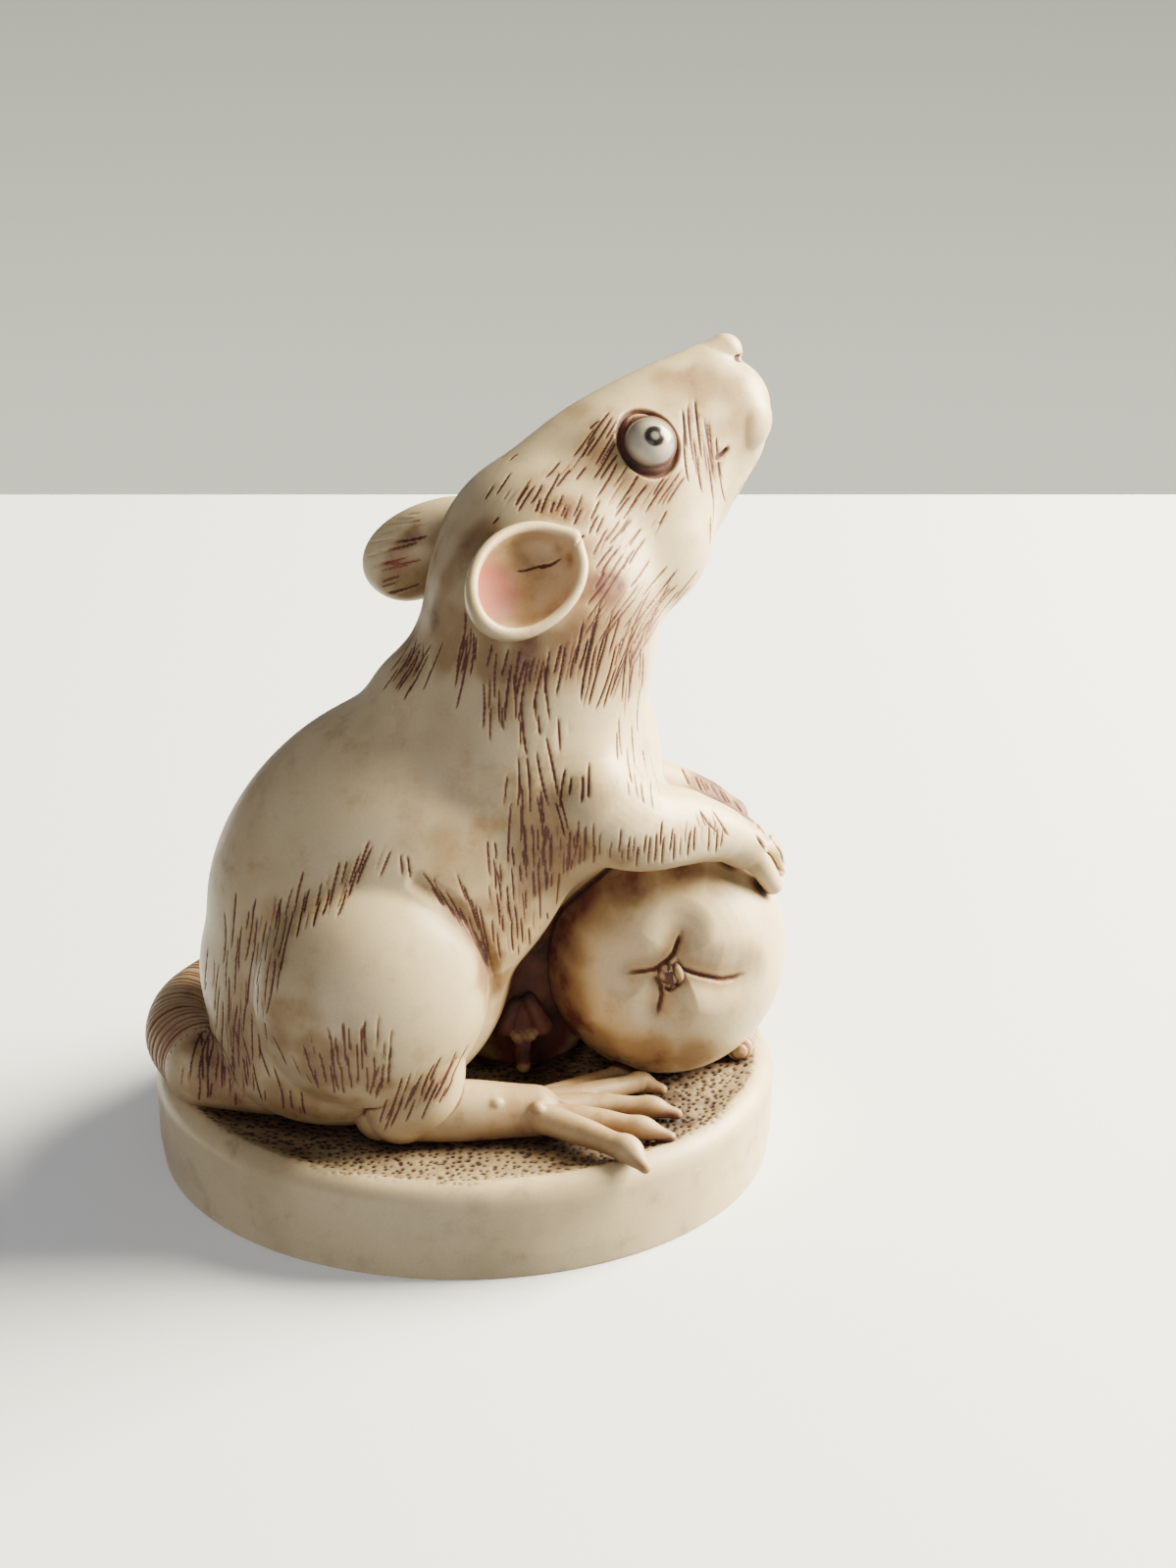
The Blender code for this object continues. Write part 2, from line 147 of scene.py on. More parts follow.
class OrnamentSizes(bpy.types.PropertyGroup):
    """Sizes of the ornament and of what is cut into it."""
    base_length: FloatProperty(
        name="Base length", description="Length of the oval base",
        default=50.6 * MM, unit="LENGTH")
    base_width: FloatProperty(
        name="Base width", description="Width of the oval base",
        default=46.6 * MM, unit="LENGTH")
    base_height: FloatProperty(
        name="Base height", description="Height of the base at its rim",
        default=8.2 * MM, unit="LENGTH")
    mouse_height: FloatProperty(
        name="Mouse height", description="Height of the mouse from the ground to its nose",
        default=58.4 * MM, unit="LENGTH")
    eye_diameter: FloatProperty(
        name="Eye", description="Diameter of an eyeball", default=4.0 * MM, unit="LENGTH")
    ear_length: FloatProperty(
        name="Ear length", description="Length of an ear from its back to its front corner",
        default=10.9 * MM, unit="LENGTH")
    ear_breadth: FloatProperty(
        name="Ear breadth", description="Breadth of an ear across its rim",
        default=8.1 * MM, unit="LENGTH")
    stroke_width: FloatProperty(
        name="Fur stroke width", description="Width of an engraved fur stroke",
        default=0.30 * MM, unit="LENGTH")
    stroke_depth: FloatProperty(
        name="Fur stroke depth", description="Depth of an engraved fur stroke",
        default=0.11 * MM, unit="LENGTH")
    socket_width: FloatProperty(
        name="Socket width", description="Width of the groove round each eye",
        default=0.80 * MM, unit="LENGTH")
    crease_width: FloatProperty(
        name="Crease width", description="Width of the grooves at the mouth and the nostrils",
        default=0.85 * MM, unit="LENGTH")
    crease_depth: FloatProperty(
        name="Crease depth", description="Depth of the grooves at the eyes, mouth and nostrils",
        default=0.40 * MM, unit="LENGTH")
    pit_width: FloatProperty(
        name="Pit width", description="Width of a pit in the ground",
        default=0.50 * MM, unit="LENGTH")
    pit_depth: FloatProperty(
        name="Pit depth", description="Depth of a pit in the ground",
        default=0.18 * MM, unit="LENGTH")
    pit_spacing: FloatProperty(
        name="Pit spacing", description="Distance from one pit to the next",
        default=0.66 * MM, unit="LENGTH")
    ring_pitch: FloatProperty(
        name="Tail ring pitch", description="Distance from one tail ring to the next",
        default=0.72 * MM, unit="LENGTH")
    seed: IntProperty(
        name="Seed", description="Seed of the uneven placing of strokes and pits", default=SEED)


class OrnamentColours(bpy.types.PropertyGroup):
    """Colours of the resin, its stain and its paint."""
    cream: FloatVectorProperty(
        name="Cream", description="Bare resin", subtype="COLOR", default=linear("#CEBC99"))
    tan: FloatVectorProperty(
        name="Tan", description="Resin under a thin wash", subtype="COLOR",
        default=linear("#9A805C"))
    olive: FloatVectorProperty(
        name="Olive", description="Thin wash on the ground", subtype="COLOR",
        default=linear("#958468"))
    # Ash and earth also paint the shade on the fruit's upper left and bottom.
    ash: FloatVectorProperty(
        name="Ash", description="Thin wash on the fruit", subtype="COLOR",
        default=linear("#85796A"))
    earth: FloatVectorProperty(
        name="Earth", description="Thick wash on the ground and the fruit", subtype="COLOR",
        default=linear("#574435"))
    russet: FloatVectorProperty(
        name="Russet", description="Stain in a shallow cut", subtype="COLOR",
        default=linear("#5A3027"))
    umber: FloatVectorProperty(
        name="Umber", description="Stain in a deep cut", subtype="COLOR",
        default=linear("#26140F"))
    rose: FloatVectorProperty(
        name="Rose", description="Tint inside the ears", subtype="COLOR",
        default=linear("#964F40"))
    eyeball: FloatVectorProperty(
        name="Eyeball", description="Paint of the eyeballs", subtype="COLOR",
        default=linear("#CDC5B4"))
    pupil: FloatVectorProperty(
        name="Pupil", description="Paint of the pupils", subtype="COLOR",
        default=linear("#1B1B1E"))
    floor: FloatVectorProperty(
        name="Floor", description="Colour of the floor", subtype="COLOR",
        default=linear("#DDE4EE"))
    backdrop: FloatVectorProperty(
        name="Backdrop", description="Colour high behind the floor", subtype="COLOR",
        default=linear("#B9BBA8"))
    horizon: FloatVectorProperty(
        name="Horizon", description="Colour low behind the floor", subtype="COLOR",
        default=linear("#ECEAD6"))


# Frames and views


def rotation(degrees, axis):
    """Rotation about one axis."""
    return Matrix.Rotation(math.radians(degrees), 4, axis)


def turned(pitch, roll=0.0, yaw=0.0):
    """Nose up by pitch, left side down by roll, then yaw to the left."""
    return rotation(yaw, "Z") @ rotation(-pitch, "Y") @ rotation(-roll, "X")


def sizes():
    """Sizes kept in the scene."""
    return bpy.context.scene.ornament_sizes


def ground_height():
    """Height of the ground, a little below the rim."""
    return sizes().base_height / MM - GROUND_DIP


def figure_frame():
    """Frame of the mouse, drawn in millimetres."""
    place = Vector((MOUSE_AT[0], MOUSE_AT[1], ground_height())) * MM
    size = Matrix.Scale(sizes().mouse_height / DRAWN_HEIGHT, 4)
    return Matrix.Translation(place) @ rotation(HEADING, "Z") @ size


def head_frame():
    """Frame of the head: +X to the nose, +Y to the left ear."""
    return figure_frame() @ Matrix.Translation(HEAD_AT) @ turned(HEAD_PITCH, HEAD_ROLL, HEAD_YAW)


def mirror_in(place):
    """Reflection in the middle plane of a frame."""
    return place @ Matrix.Diagonal((1.0, -1.0, 1.0, 1.0)) @ place.inverted()


def view_axes():
    """Right, up and forward of the photograph's camera."""
    down = math.radians(LOOKING_DOWN)
    forward = Vector((0.0, math.cos(down), -math.sin(down)))
    return Vector((1.0, 0.0, 0.0)), Vector((0.0, math.sin(down), math.cos(down))), forward


def camera_place():
    """Where the photograph's camera stands."""
    return (Vector(AIM) - CAMERA_DISTANCE * view_axes()[2]) * MM


def sight_line(u, v):
    """Direction from the camera through a pixel of the photograph."""
    right, up, forward = view_axes()
    reach = PIXELS_PER_MM * CAMERA_DISTANCE
    line = forward * reach + right * (u - PHOTO_WIDTH / 2) + up * (PHOTO_HEIGHT / 2 - v)
    return line.normalized()


# Making forms


def placed(mesh, matrix=None):
    """Object that carries a mesh at a place."""
    thing = bpy.data.objects.new(mesh.name, mesh)
    bpy.context.scene.collection.objects.link(thing)
    if matrix is not None:
        thing.matrix_world = matrix
    return thing


def applied(thing):
    """The object with its modifiers made real."""
    bpy.context.view_layer.update()
    evaluated = thing.evaluated_get(bpy.context.evaluated_depsgraph_get())
    mesh = bpy.data.meshes.new_from_object(evaluated)
    thing.modifiers.clear()
    old = thing.data
    thing.data = mesh
    if old.users == 0:
        bpy.data.meshes.remove(old)
    return thing


def ball(place, centre, radii, turn=None, segments=48):
    """Ellipsoid with its centre and radii in the given frame."""
    mesh = bpy.data.meshes.new("ball")
    bm = bmesh.new()
    bmesh.ops.create_uvsphere(bm, u_segments=segments, v_segments=segments // 2, radius=1.0)
    bm.to_mesh(mesh)
    bm.free()
    matrix = place @ Matrix.Translation(centre)
    if turn is not None:
        matrix = matrix @ turn
    return placed(mesh, matrix @ Matrix.Diagonal((*radii, 1.0)))


def pair(place, centre, radii, turn=None, segments=48):
    """The same ellipsoid on both sides of the frame's middle plane."""
    flip = Matrix.Diagonal((1.0, -1.0, 1.0, 1.0))
    other = flip @ turn @ flip if turn is not None else None
    right = (centre[0], -centre[1], centre[2])
    return [ball(place, centre, radii, turn, segments), ball(place, right, radii, other, segments)]


def guide_curve(stations, name="guide", closed=False):
    """Smooth curve through stations of x, y, z and radius."""
    curve = bpy.data.curves.new(name, "CURVE")
    curve.dimensions = "3D"
    curve.resolution_u = 20
    spline = curve.splines.new("BEZIER")
    spline.radius_interpolation = "CARDINAL"
    spline.use_cyclic_u = closed
    spline.bezier_points.add(len(stations) - 1)
    for point, (x, y, z, radius) in zip(spline.bezier_points, stations):
        point.co = (x, y, z)
        point.radius = radius
        point.handle_left_type = "AUTO"
        point.handle_right_type = "AUTO"
    guide = bpy.data.objects.new(name, curve)
    bpy.context.scene.collection.objects.link(guide)
    return guide


def limb(place, stations, segments=48):
    """Round limb through stations of x, y, z and radius, with a ball at each end."""
    guide = guide_curve(stations)
    guide.data.bevel_depth = 1.0
    guide.data.bevel_resolution = 18
    guide.data.use_fill_caps = True
    bpy.context.view_layer.update()
    evaluated = guide.evaluated_get(bpy.context.evaluated_depsgraph_get())
    mesh = bpy.data.meshes.new_from_object(evaluated)
    bpy.data.objects.remove(guide)
    bm = bmesh.new()
    bm.from_mesh(mesh)
    bmesh.ops.remove_doubles(bm, verts=bm.verts, dist=0.0001)
    bm.to_mesh(mesh)
    bm.free()
    ends = [ball(place, end[:3], (end[3],) * 3, segments=segments)
            for end in (stations[0], stations[-1])]
    return [placed(mesh, place)] + ends


def mirrored(stations):
    """A limb's stations on the other side of the middle plane."""
    return [(x, -y, z, radius) for x, y, z, radius in stations]


def turned_form(name, profile, steps):
    """Form turned round Z from a half outline that runs down its outer side."""
    mesh = bpy.data.meshes.new(name)
    bm = bmesh.new()
    verts = [bm.verts.new((x, 0.0, z)) for x, z in profile]
    for start, end in zip(verts, verts[1:]):
        bm.edges.new((start, end))
    bm.to_mesh(mesh)
    bm.free()
    form = placed(mesh)
    screw = form.modifiers.new("Turned", "SCREW")
    screw.steps = steps
    screw.render_steps = steps
    screw.use_merge_vertices = True
    screw.merge_threshold = 0.00001
    return applied(form)


def fused(name, things, voxel, rounds, refine=False):
    """One skin over closed forms, with the creases between them softened."""
    bpy.context.view_layer.update()
    bm = bmesh.new()
    for thing in things:
        thing.data.transform(thing.matrix_world)
        bm.from_mesh(thing.data)
        bpy.data.objects.remove(thing)
    mesh = bpy.data.meshes.new(name)
    bm.to_mesh(mesh)
    bm.free()
    skin = placed(mesh)
    remesh = skin.modifiers.new("Skin", "REMESH")
    remesh.mode = "VOXEL"
    remesh.voxel_size = voxel * MM
    soften = skin.modifiers.new("Soften", "SMOOTH")
    soften.factor = 0.5
    soften.iterations = rounds
    if refine:
        finer = skin.modifiers.new("Finer", "SUBSURF")
        finer.levels = 1
        finer.render_levels = 1
    return applied(skin)


def thinned(thing, triangles):
    """The skin with small facets only where something is cut into it."""
    count = sum(len(facet.vertices) - 2 for facet in thing.data.polygons)
    if count > triangles:
        thin = thing.modifiers.new("Thinned", "DECIMATE")
        thin.ratio = triangles / count
        thin.use_collapse_triangulate = True
        applied(thing)
    return thing


def points_of(thing):
    """Vertex places as an array, in metres."""
    places = np.empty(len(thing.data.vertices) * 3, np.float32)
    thing.data.vertices.foreach_get("co", places)
    return places.reshape(-1, 3).astype(float)


def local_points(thing, place):
    """Vertex places in a frame, in millimetres."""
    matrix = np.array(place.inverted())
    return points_of(thing) @ matrix[:3, :3].T + matrix[:3, 3]


def attribute(thing, name):
    """Values of a vertex attribute, zero where there is none."""
    values = np.zeros(len(thing.data.vertices), np.float32)
    if name in thing.data.attributes:
        thing.data.attributes[name].data.foreach_get("value", values)
    return values.astype(float)


def write_attribute(thing, name, values):
    """Keeps a value for every vertex."""
    if name not in thing.data.attributes:
        thing.data.attributes.new(name, "FLOAT", "POINT")
    thing.data.attributes[name].data.foreach_set("value", np.asarray(values, np.float32))


def eased(values, low, high):
    """Smooth step from 0 at low to 1 at high."""
    share = np.clip((values - low) / (high - low), 0.0, 1.0)
    return share * share * (3.0 - 2.0 * share)


# Node trees


def add_node(tree, kind, values=None, links=None, **settings):
    """Adds a node with its settings, its fixed inputs and its links."""
    made = tree.nodes.new(kind)
    for name, value in settings.items():
        setattr(made, name, value)
    for key, value in (values or {}).items():
        made.inputs[key].default_value = value
    for key, source in (links or {}).items():
        tree.links.new(source, made.inputs[key])
    return made


def open_tree(name, inputs):
    """Geometry tree with a mesh in, a mesh out and named inputs."""
    tree = bpy.data.node_groups.new(name, "GeometryNodeTree")
    tree.interface.new_socket("Geometry", in_out="INPUT", socket_type="NodeSocketGeometry")
    for title, kind in inputs:
        tree.interface.new_socket(title, in_out="INPUT", socket_type=kind)
    tree.interface.new_socket("Geometry", in_out="OUTPUT", socket_type="NodeSocketGeometry")
    return tree, tree.nodes.new("NodeGroupInput")


def close_tree(tree, geometry, given):
    """Ends a tree in real geometry with its material."""
    real = add_node(tree, "GeometryNodeRealizeInstances", links={0: geometry})
    dressed = add_node(tree, "GeometryNodeSetMaterial",
                       links={"Geometry": real.outputs[0], "Material": given.outputs["Material"]})
    add_node(tree, "NodeGroupOutput", links={0: dressed.outputs[0]})


def run_tree(thing, tree, values):
    """Runs a tree over a piece and keeps the result as plain mesh."""
    modifier = thing.modifiers.new(tree.name, "NODES")
    modifier.node_group = tree
    for item in tree.interface.items_tree:
        if item.item_type == "SOCKET" and item.in_out == "INPUT" and item.name in values:
            modifier[item.identifier] = values[item.name]
    return applied(thing)


def engraving_tree():
    """Cuts grooves along lines: the surface sinks and keeps a stain near each line."""
    tree, given = open_tree("Engraving", (
        ("Lines", "NodeSocketObject"), ("Width", "NodeSocketFloat"), ("Depth", "NodeSocketFloat"),
        ("Attribute", "NodeSocketString"), ("Material", "NodeSocketMaterial")))
    lines = add_node(tree, "GeometryNodeObjectInfo", links={"Object": given.outputs["Lines"]})
    near = add_node(tree, "GeometryNodeProximity", target_element="EDGES",
                    links={0: lines.outputs["Geometry"]})
    half = add_node(tree, "ShaderNodeMath", operation="MULTIPLY", values={1: 0.5},
                    links={0: given.outputs["Width"]})
    cut = add_node(tree, "ShaderNodeMapRange", interpolation_type="SMOOTHSTEP",
                   values={"From Min": 0.0, "To Min": 1.0, "To Max": 0.0},
                   links={"Value": near.outputs["Distance"], "From Max": half.outputs[0]})
    sink = add_node(tree, "ShaderNodeMath", operation="MULTIPLY",
                    links={0: cut.outputs["Result"], 1: given.outputs["Depth"]})
    inward = add_node(tree, "ShaderNodeMath", operation="MULTIPLY", values={1: -1.0},
                      links={0: sink.outputs[0]})
    facing = add_node(tree, "GeometryNodeInputNormal")
    offset = add_node(tree, "ShaderNodeVectorMath", operation="SCALE",
                      links={0: facing.outputs[0], "Scale": inward.outputs[0]})
    stained = add_node(tree, "GeometryNodeStoreNamedAttribute", data_type="FLOAT", domain="POINT",
                       links={"Geometry": given.outputs["Geometry"],
                              "Name": given.outputs["Attribute"], "Value": cut.outputs["Result"]})
    moved = add_node(tree, "GeometryNodeSetPosition",
                     links={"Geometry": stained.outputs[0], "Offset": offset.outputs[0]})
    close_tree(tree, moved.outputs[0], given)
    return tree


def cavity_tree():
    """Keeps how hollow the surface is round each point, and how closely it is cut about."""
    tree, given = open_tree("Cavities", (
        ("Rounds", "NodeSocketInt"), ("Wash rounds", "NodeSocketInt"),
        ("Material", "NodeSocketMaterial")))
    place = add_node(tree, "GeometryNodeInputPosition")
    blurred = add_node(tree, "GeometryNodeBlurAttribute", data_type="FLOAT_VECTOR",
                       links={"Value": place.outputs[0], "Iterations": given.outputs["Rounds"]})
    lift = add_node(tree, "ShaderNodeVectorMath", operation="SUBTRACT",
                    links={0: blurred.outputs[0], 1: place.outputs[0]})
    facing = add_node(tree, "GeometryNodeInputNormal")
    hollow = add_node(tree, "ShaderNodeVectorMath", operation="DOT_PRODUCT",
                      links={0: lift.outputs[0], 1: facing.outputs[0]})
    stored = add_node(tree, "GeometryNodeStoreNamedAttribute", data_type="FLOAT", domain="POINT",
                      values={"Name": "cavity"},
                      links={"Geometry": given.outputs["Geometry"],
                             "Value": hollow.outputs["Value"]})
    cuts = add_node(tree, "GeometryNodeInputNamedAttribute", data_type="FLOAT",
                    values={"Name": "cut"})
    spread = add_node(tree, "GeometryNodeBlurAttribute", data_type="FLOAT",
                      links={"Value": cuts.outputs["Attribute"],
                             "Iterations": given.outputs["Wash rounds"]})
    washed = add_node(tree, "GeometryNodeStoreNamedAttribute", data_type="FLOAT", domain="POINT",
                      values={"Name": "wash"},
                      links={"Geometry": stored.outputs[0], "Value": spread.outputs[0]})
    close_tree(tree, washed.outputs[0], given)
    return tree


def seam_tree():
    """Keeps the distance from each point of a piece to the pieces it stands against."""
    tree, given = open_tree("Seams", (
        ("Neighbours", "NodeSocketObject"), ("Material", "NodeSocketMaterial")))
    others = add_node(tree, "GeometryNodeObjectInfo", links={"Object": given.outputs["Neighbours"]})
    near = add_node(tree, "GeometryNodeProximity", target_element="FACES",
                    links={0: others.outputs["Geometry"]})
    stored = add_node(tree, "GeometryNodeStoreNamedAttribute", data_type="FLOAT", domain="POINT",
                      values={"Name": "seam"},
                      links={"Geometry": given.outputs["Geometry"],
                             "Value": near.outputs["Distance"]})
    close_tree(tree, stored.outputs[0], given)
    return tree


def pit_pattern(tree, place):
    """Pits over the ground, from 0 between them to 1 in each: the mesh and its resin share them."""
    own = sizes()
    cells = add_node(tree, "ShaderNodeTexVoronoi", voronoi_dimensions="2D",
                     values={"Scale": 1.0 / own.pit_spacing, "Randomness": 0.85},
                     links={"Vector": place})
    uneven = add_node(tree, "ShaderNodeTexNoise", values={"Scale": 1.0 / (1.6 * MM)},
                      links={"Vector": place})
    reach = add_node(tree, "ShaderNodeMapRange",
                     values={"From Min": 0.3, "From Max": 0.7,
                             "To Min": 0.3 * own.pit_width / own.pit_spacing,
                             "To Max": 0.8 * own.pit_width / own.pit_spacing},
                     links={"Value": uneven.outputs[0]})
    pits = add_node(tree, "ShaderNodeMapRange", interpolation_type="SMOOTHSTEP",
                    values={"From Min": 0.0, "To Min": 1.0, "To Max": 0.0},
                    links={"Value": cells.outputs["Distance"], "From Max": reach.outputs[0]})
    return pits.outputs[0]


def pits_tree():
    """Pricks the pits into the ground."""
    tree, given = open_tree("Pits", (
        ("Depth", "NodeSocketFloat"), ("Material", "NodeSocketMaterial")))
    ground = add_node(tree, "GeometryNodeInputNamedAttribute", data_type="FLOAT",
                      values={"Name": "ground"})
    place = add_node(tree, "GeometryNodeInputPosition")
    cut = add_node(tree, "ShaderNodeMath", operation="MULTIPLY",
                   links={0: pit_pattern(tree, place.outputs[0]),
                          1: ground.outputs["Attribute"]})
    sink = add_node(tree, "ShaderNodeMath", operation="MULTIPLY",
                    links={0: cut.outputs[0], 1: given.outputs["Depth"]})
    down = add_node(tree, "ShaderNodeMath", operation="MULTIPLY", values={1: -1.0},
                    links={0: sink.outputs[0]})
    offset = add_node(tree, "ShaderNodeCombineXYZ", links={"Z": down.outputs[0]})
    moved = add_node(tree, "GeometryNodeSetPosition",
                     links={"Geometry": given.outputs["Geometry"], "Offset": offset.outputs[0]})
    close_tree(tree, moved.outputs[0], given)
    return tree


def tail_tree():
    """Round tail along a guide, with a groove between each ring and the next."""
    tree, given = open_tree("Ringed tail", (
        ("Guide", "NodeSocketObject"), ("Pitch", "NodeSocketFloat"),
        ("Groove", "NodeSocketFloat"), ("Plain start", "NodeSocketFloat"),
        ("Material", "NodeSocketMaterial")))
    guide = add_node(tree, "GeometryNodeObjectInfo", links={"Object": given.outputs["Guide"]})
    fine = add_node(tree, "GeometryNodeResampleCurve", mode="LENGTH",
                    values={"Length": TAIL_STEP * MM}, links={"Curve": guide.outputs["Geometry"]})
    along = add_node(tree, "GeometryNodeSplineParameter")
    turns = add_node(tree, "ShaderNodeMath", operation="DIVIDE",
                     links={0: along.outputs["Length"], 1: given.outputs["Pitch"]})
    uneven = add_node(tree, "ShaderNodeTexNoise", noise_dimensions="1D",
                      values={"Scale": 0.45, "Detail": 1.0}, links={"W": turns.outputs[0]})
    drift = add_node(tree, "ShaderNodeMath", operation="MULTIPLY_ADD", values={1: 1.6},
                     links={0: uneven.outputs[0], 2: turns.outputs[0]})
    phase = add_node(tree, "ShaderNodeMath", operation="MULTIPLY", values={1: math.pi},
                     links={0: drift.outputs[0]})
    wave = add_node(tree, "ShaderNodeMath", operation="SINE", links={0: phase.outputs[0]})
    height = add_node(tree, "ShaderNodeMath", operation="ABSOLUTE", links={0: wave.outputs[0]})
    groove = add_node(tree, "ShaderNodeMapRange", interpolation_type="SMOOTHSTEP",
                      values={"From Min": 0.0, "From Max": 0.8, "To Min": 1.0, "To Max": 0.0},
                      links={"Value": height.outputs[0]})
    started = add_node(tree, "ShaderNodeMath", operation="GREATER_THAN",
                       links={0: along.outputs["Length"], 1: given.outputs["Plain start"]})
    cut = add_node(tree, "ShaderNodeMath", operation="MULTIPLY",
                   links={0: groove.outputs["Result"], 1: started.outputs[0]})
    sink = add_node(tree, "ShaderNodeMath", operation="MULTIPLY",
                    links={0: cut.outputs[0], 1: given.outputs["Groove"]})
    thick = add_node(tree, "GeometryNodeInputRadius")
    thinner = add_node(tree, "ShaderNodeMath", operation="SUBTRACT",
                       links={0: thick.outputs[0], 1: sink.outputs[0]})
    ringed = add_node(tree, "GeometryNodeStoreNamedAttribute", data_type="FLOAT", domain="POINT",
                      values={"Name": "cut"},
                      links={"Geometry": fine.outputs[0], "Value": cut.outputs[0]})
    section = add_node(tree, "GeometryNodeCurvePrimitiveCircle",
                       values={"Resolution": 32, "Radius": 1.0})
    swept = add_node(tree, "GeometryNodeCurveToMesh", values={"Fill Caps": True},
                     links={"Curve": ringed.outputs[0], "Profile Curve": section.outputs[0],
                            "Scale": thinner.outputs[0]})
    close_tree(tree, swept.outputs[0], given)
    return tree


# Resin


def resin_material(name="stone-filled cast resin", washed=("tan", "russet", "umber"),
                   pitted=False):
    """Resin filled with crushed stone, cast in a rubber mould, stained and wiped.

    It looks like old ivory: cream with faint cloudy patches, a soft sheen on what is proud, and a
    duller brown where the stain was not wiped away. The same browns also paint shade in the hollow
    under the belly and where shadow falls.
    """
    colours = bpy.context.scene.ornament_colours
    material = bpy.data.materials.new(name)
    material.use_nodes = True
    tree = material.node_tree
    shader = tree.nodes["Principled BSDF"]
    place = add_node(tree, "ShaderNodeTexCoord").outputs["Object"]
    # The stain attribute also carries painted shade.
    cut = add_node(tree, "ShaderNodeAttribute", attribute_name="stain").outputs["Fac"]
    if pitted:
        ground = add_node(tree, "ShaderNodeAttribute", attribute_name="ground").outputs["Fac"]
        pits = add_node(tree, "ShaderNodeMath", operation="MULTIPLY",
                        links={0: pit_pattern(tree, place), 1: ground})
        cut = add_node(tree, "ShaderNodeMath", operation="MULTIPLY_ADD", use_clamp=True,
                       values={1: 0.55}, links={0: pits.outputs[0], 2: cut}).outputs[0]
    rose = add_node(tree, "ShaderNodeAttribute", attribute_name="rose").outputs["Fac"]
    cloud = add_node(tree, "ShaderNodeTexNoise",
                     values={"Scale": 1.0 / (11.0 * MM), "Detail": 3.0, "Roughness": 0.55},
                     links={"Vector": place})
    smudge = add_node(tree, "ShaderNodeTexNoise",
                      values={"Scale": 1.0 / (2.4 * MM), "Detail": 4.0, "Roughness": 0.6},
                      links={"Vector": place})
    grit = add_node(tree, "ShaderNodeTexNoise",
                    values={"Scale": 1.0 / (0.22 * MM), "Detail": 2.0, "Roughness": 0.6},
                    links={"Vector": place})
    clouded = add_node(tree, "ShaderNodeMapRange", interpolation_type="SMOOTHSTEP",
                       values={"From Min": 0.42, "From Max": 0.72, "To Min": 0.0, "To Max": 0.16},
                       links={"Value": cloud.outputs[0]})
    smudged = add_node(tree, "ShaderNodeMapRange", interpolation_type="SMOOTHSTEP",
                       values={"From Min": 0.50, "From Max": 0.78, "To Min": 0.0, "To Max": 0.14},
                       links={"Value": smudge.outputs[0]})
    wiped = add_node(tree, "ShaderNodeMapRange",
                     values={"From Min": 0.25, "From Max": 0.75, "To Min": 0.78, "To Max": 1.18},
                     links={"Value": smudge.outputs[0]})
    uneven = add_node(tree, "ShaderNodeMath", operation="MULTIPLY",
                      links={0: cut, 1: wiped.outputs[0]})
    patchy = add_node(tree, "ShaderNodeMath", operation="ADD",
                      links={0: clouded.outputs[0], 1: smudged.outputs[0]})
    all_stain = add_node(tree, "ShaderNodeMath", operation="ADD", use_clamp=True,
                         links={0: uneven.outputs[0], 1: patchy.outputs[0]})
    ramp = add_node(tree, "ShaderNodeValToRGB", links={"Fac": all_stain.outputs[0]})
    thin, shallow, deep = (getattr(colours, shade) for shade in washed)
    stops = ((0.0, colours.cream), (0.32, thin), (0.66, shallow), (1.0, deep))
    while len(ramp.color_ramp.elements) < len(stops):
        ramp.color_ramp.elements.new(0.5)
    for element, (at, colour) in zip(ramp.color_ramp.elements, stops):
        element.position = at
        element.color = (*colour, 1.0)
    tinted = add_node(tree, "ShaderNodeMix", data_type="RGBA",
                      values={7: (*colours.rose, 1.0)},
                      links={0: rose, 6: ramp.outputs["Color"]})
    speck = add_node(tree, "ShaderNodeMapRange",
                     values={"From Min": 0.3, "From Max": 0.7, "To Min": 0.94, "To Max": 1.04},
                     links={"Value": grit.outputs[0]})
    shaded = add_node(tree, "ShaderNodeMix", data_type="RGBA", blend_type="MULTIPLY",
                      values={0: 1.0}, links={6: tinted.outputs[2], 7: speck.outputs[0]})
    tree.links.new(shaded.outputs[2], shader.inputs["Base Color"])
    dull = add_node(tree, "ShaderNodeMapRange",
                    values={"To Min": 0.36, "To Max": 0.78}, links={"Value": all_stain.outputs[0]})
    tree.links.new(dull.outputs[0], shader.inputs["Roughness"])
    bumps = add_node(tree, "ShaderNodeBump", values={"Strength": 0.35, "Distance": 0.02 * MM},
                     links={"Height": grit.outputs[0]})
    tree.links.new(bumps.outputs[0], shader.inputs["Normal"])
    shader.inputs["IOR"].default_value = 1.52
    shader.inputs["Specular IOR Level"].default_value = 0.36
    shader.inputs["Subsurface Weight"].default_value = 0.08
    shader.inputs["Subsurface Radius"].default_value = (1.0, 0.72, 0.45)
    shader.inputs["Subsurface Scale"].default_value = 0.4 * MM
    return material


GROUND_RESIN = "cast resin under an earth wash"
# The fruit's resin also carries painted shade on its upper left and bottom.
FRUIT_RESIN = "cast resin with an ash-brown wash in its lobes"


def ground_material():
    """The same resin, with an olive-brown wash over its pitted ground, darkest by the figure."""
    return resin_material(GROUND_RESIN, ("olive", "earth", "umber"), pitted=True)


def fruit_material():
    """The same resin, with an ash-brown wash left in the lobes and where the mouse leans on it,
    whose browns also paint shade on its upper left and bottom.
    """
    return resin_material(FRUIT_RESIN, ("ash", "earth", "umber"))


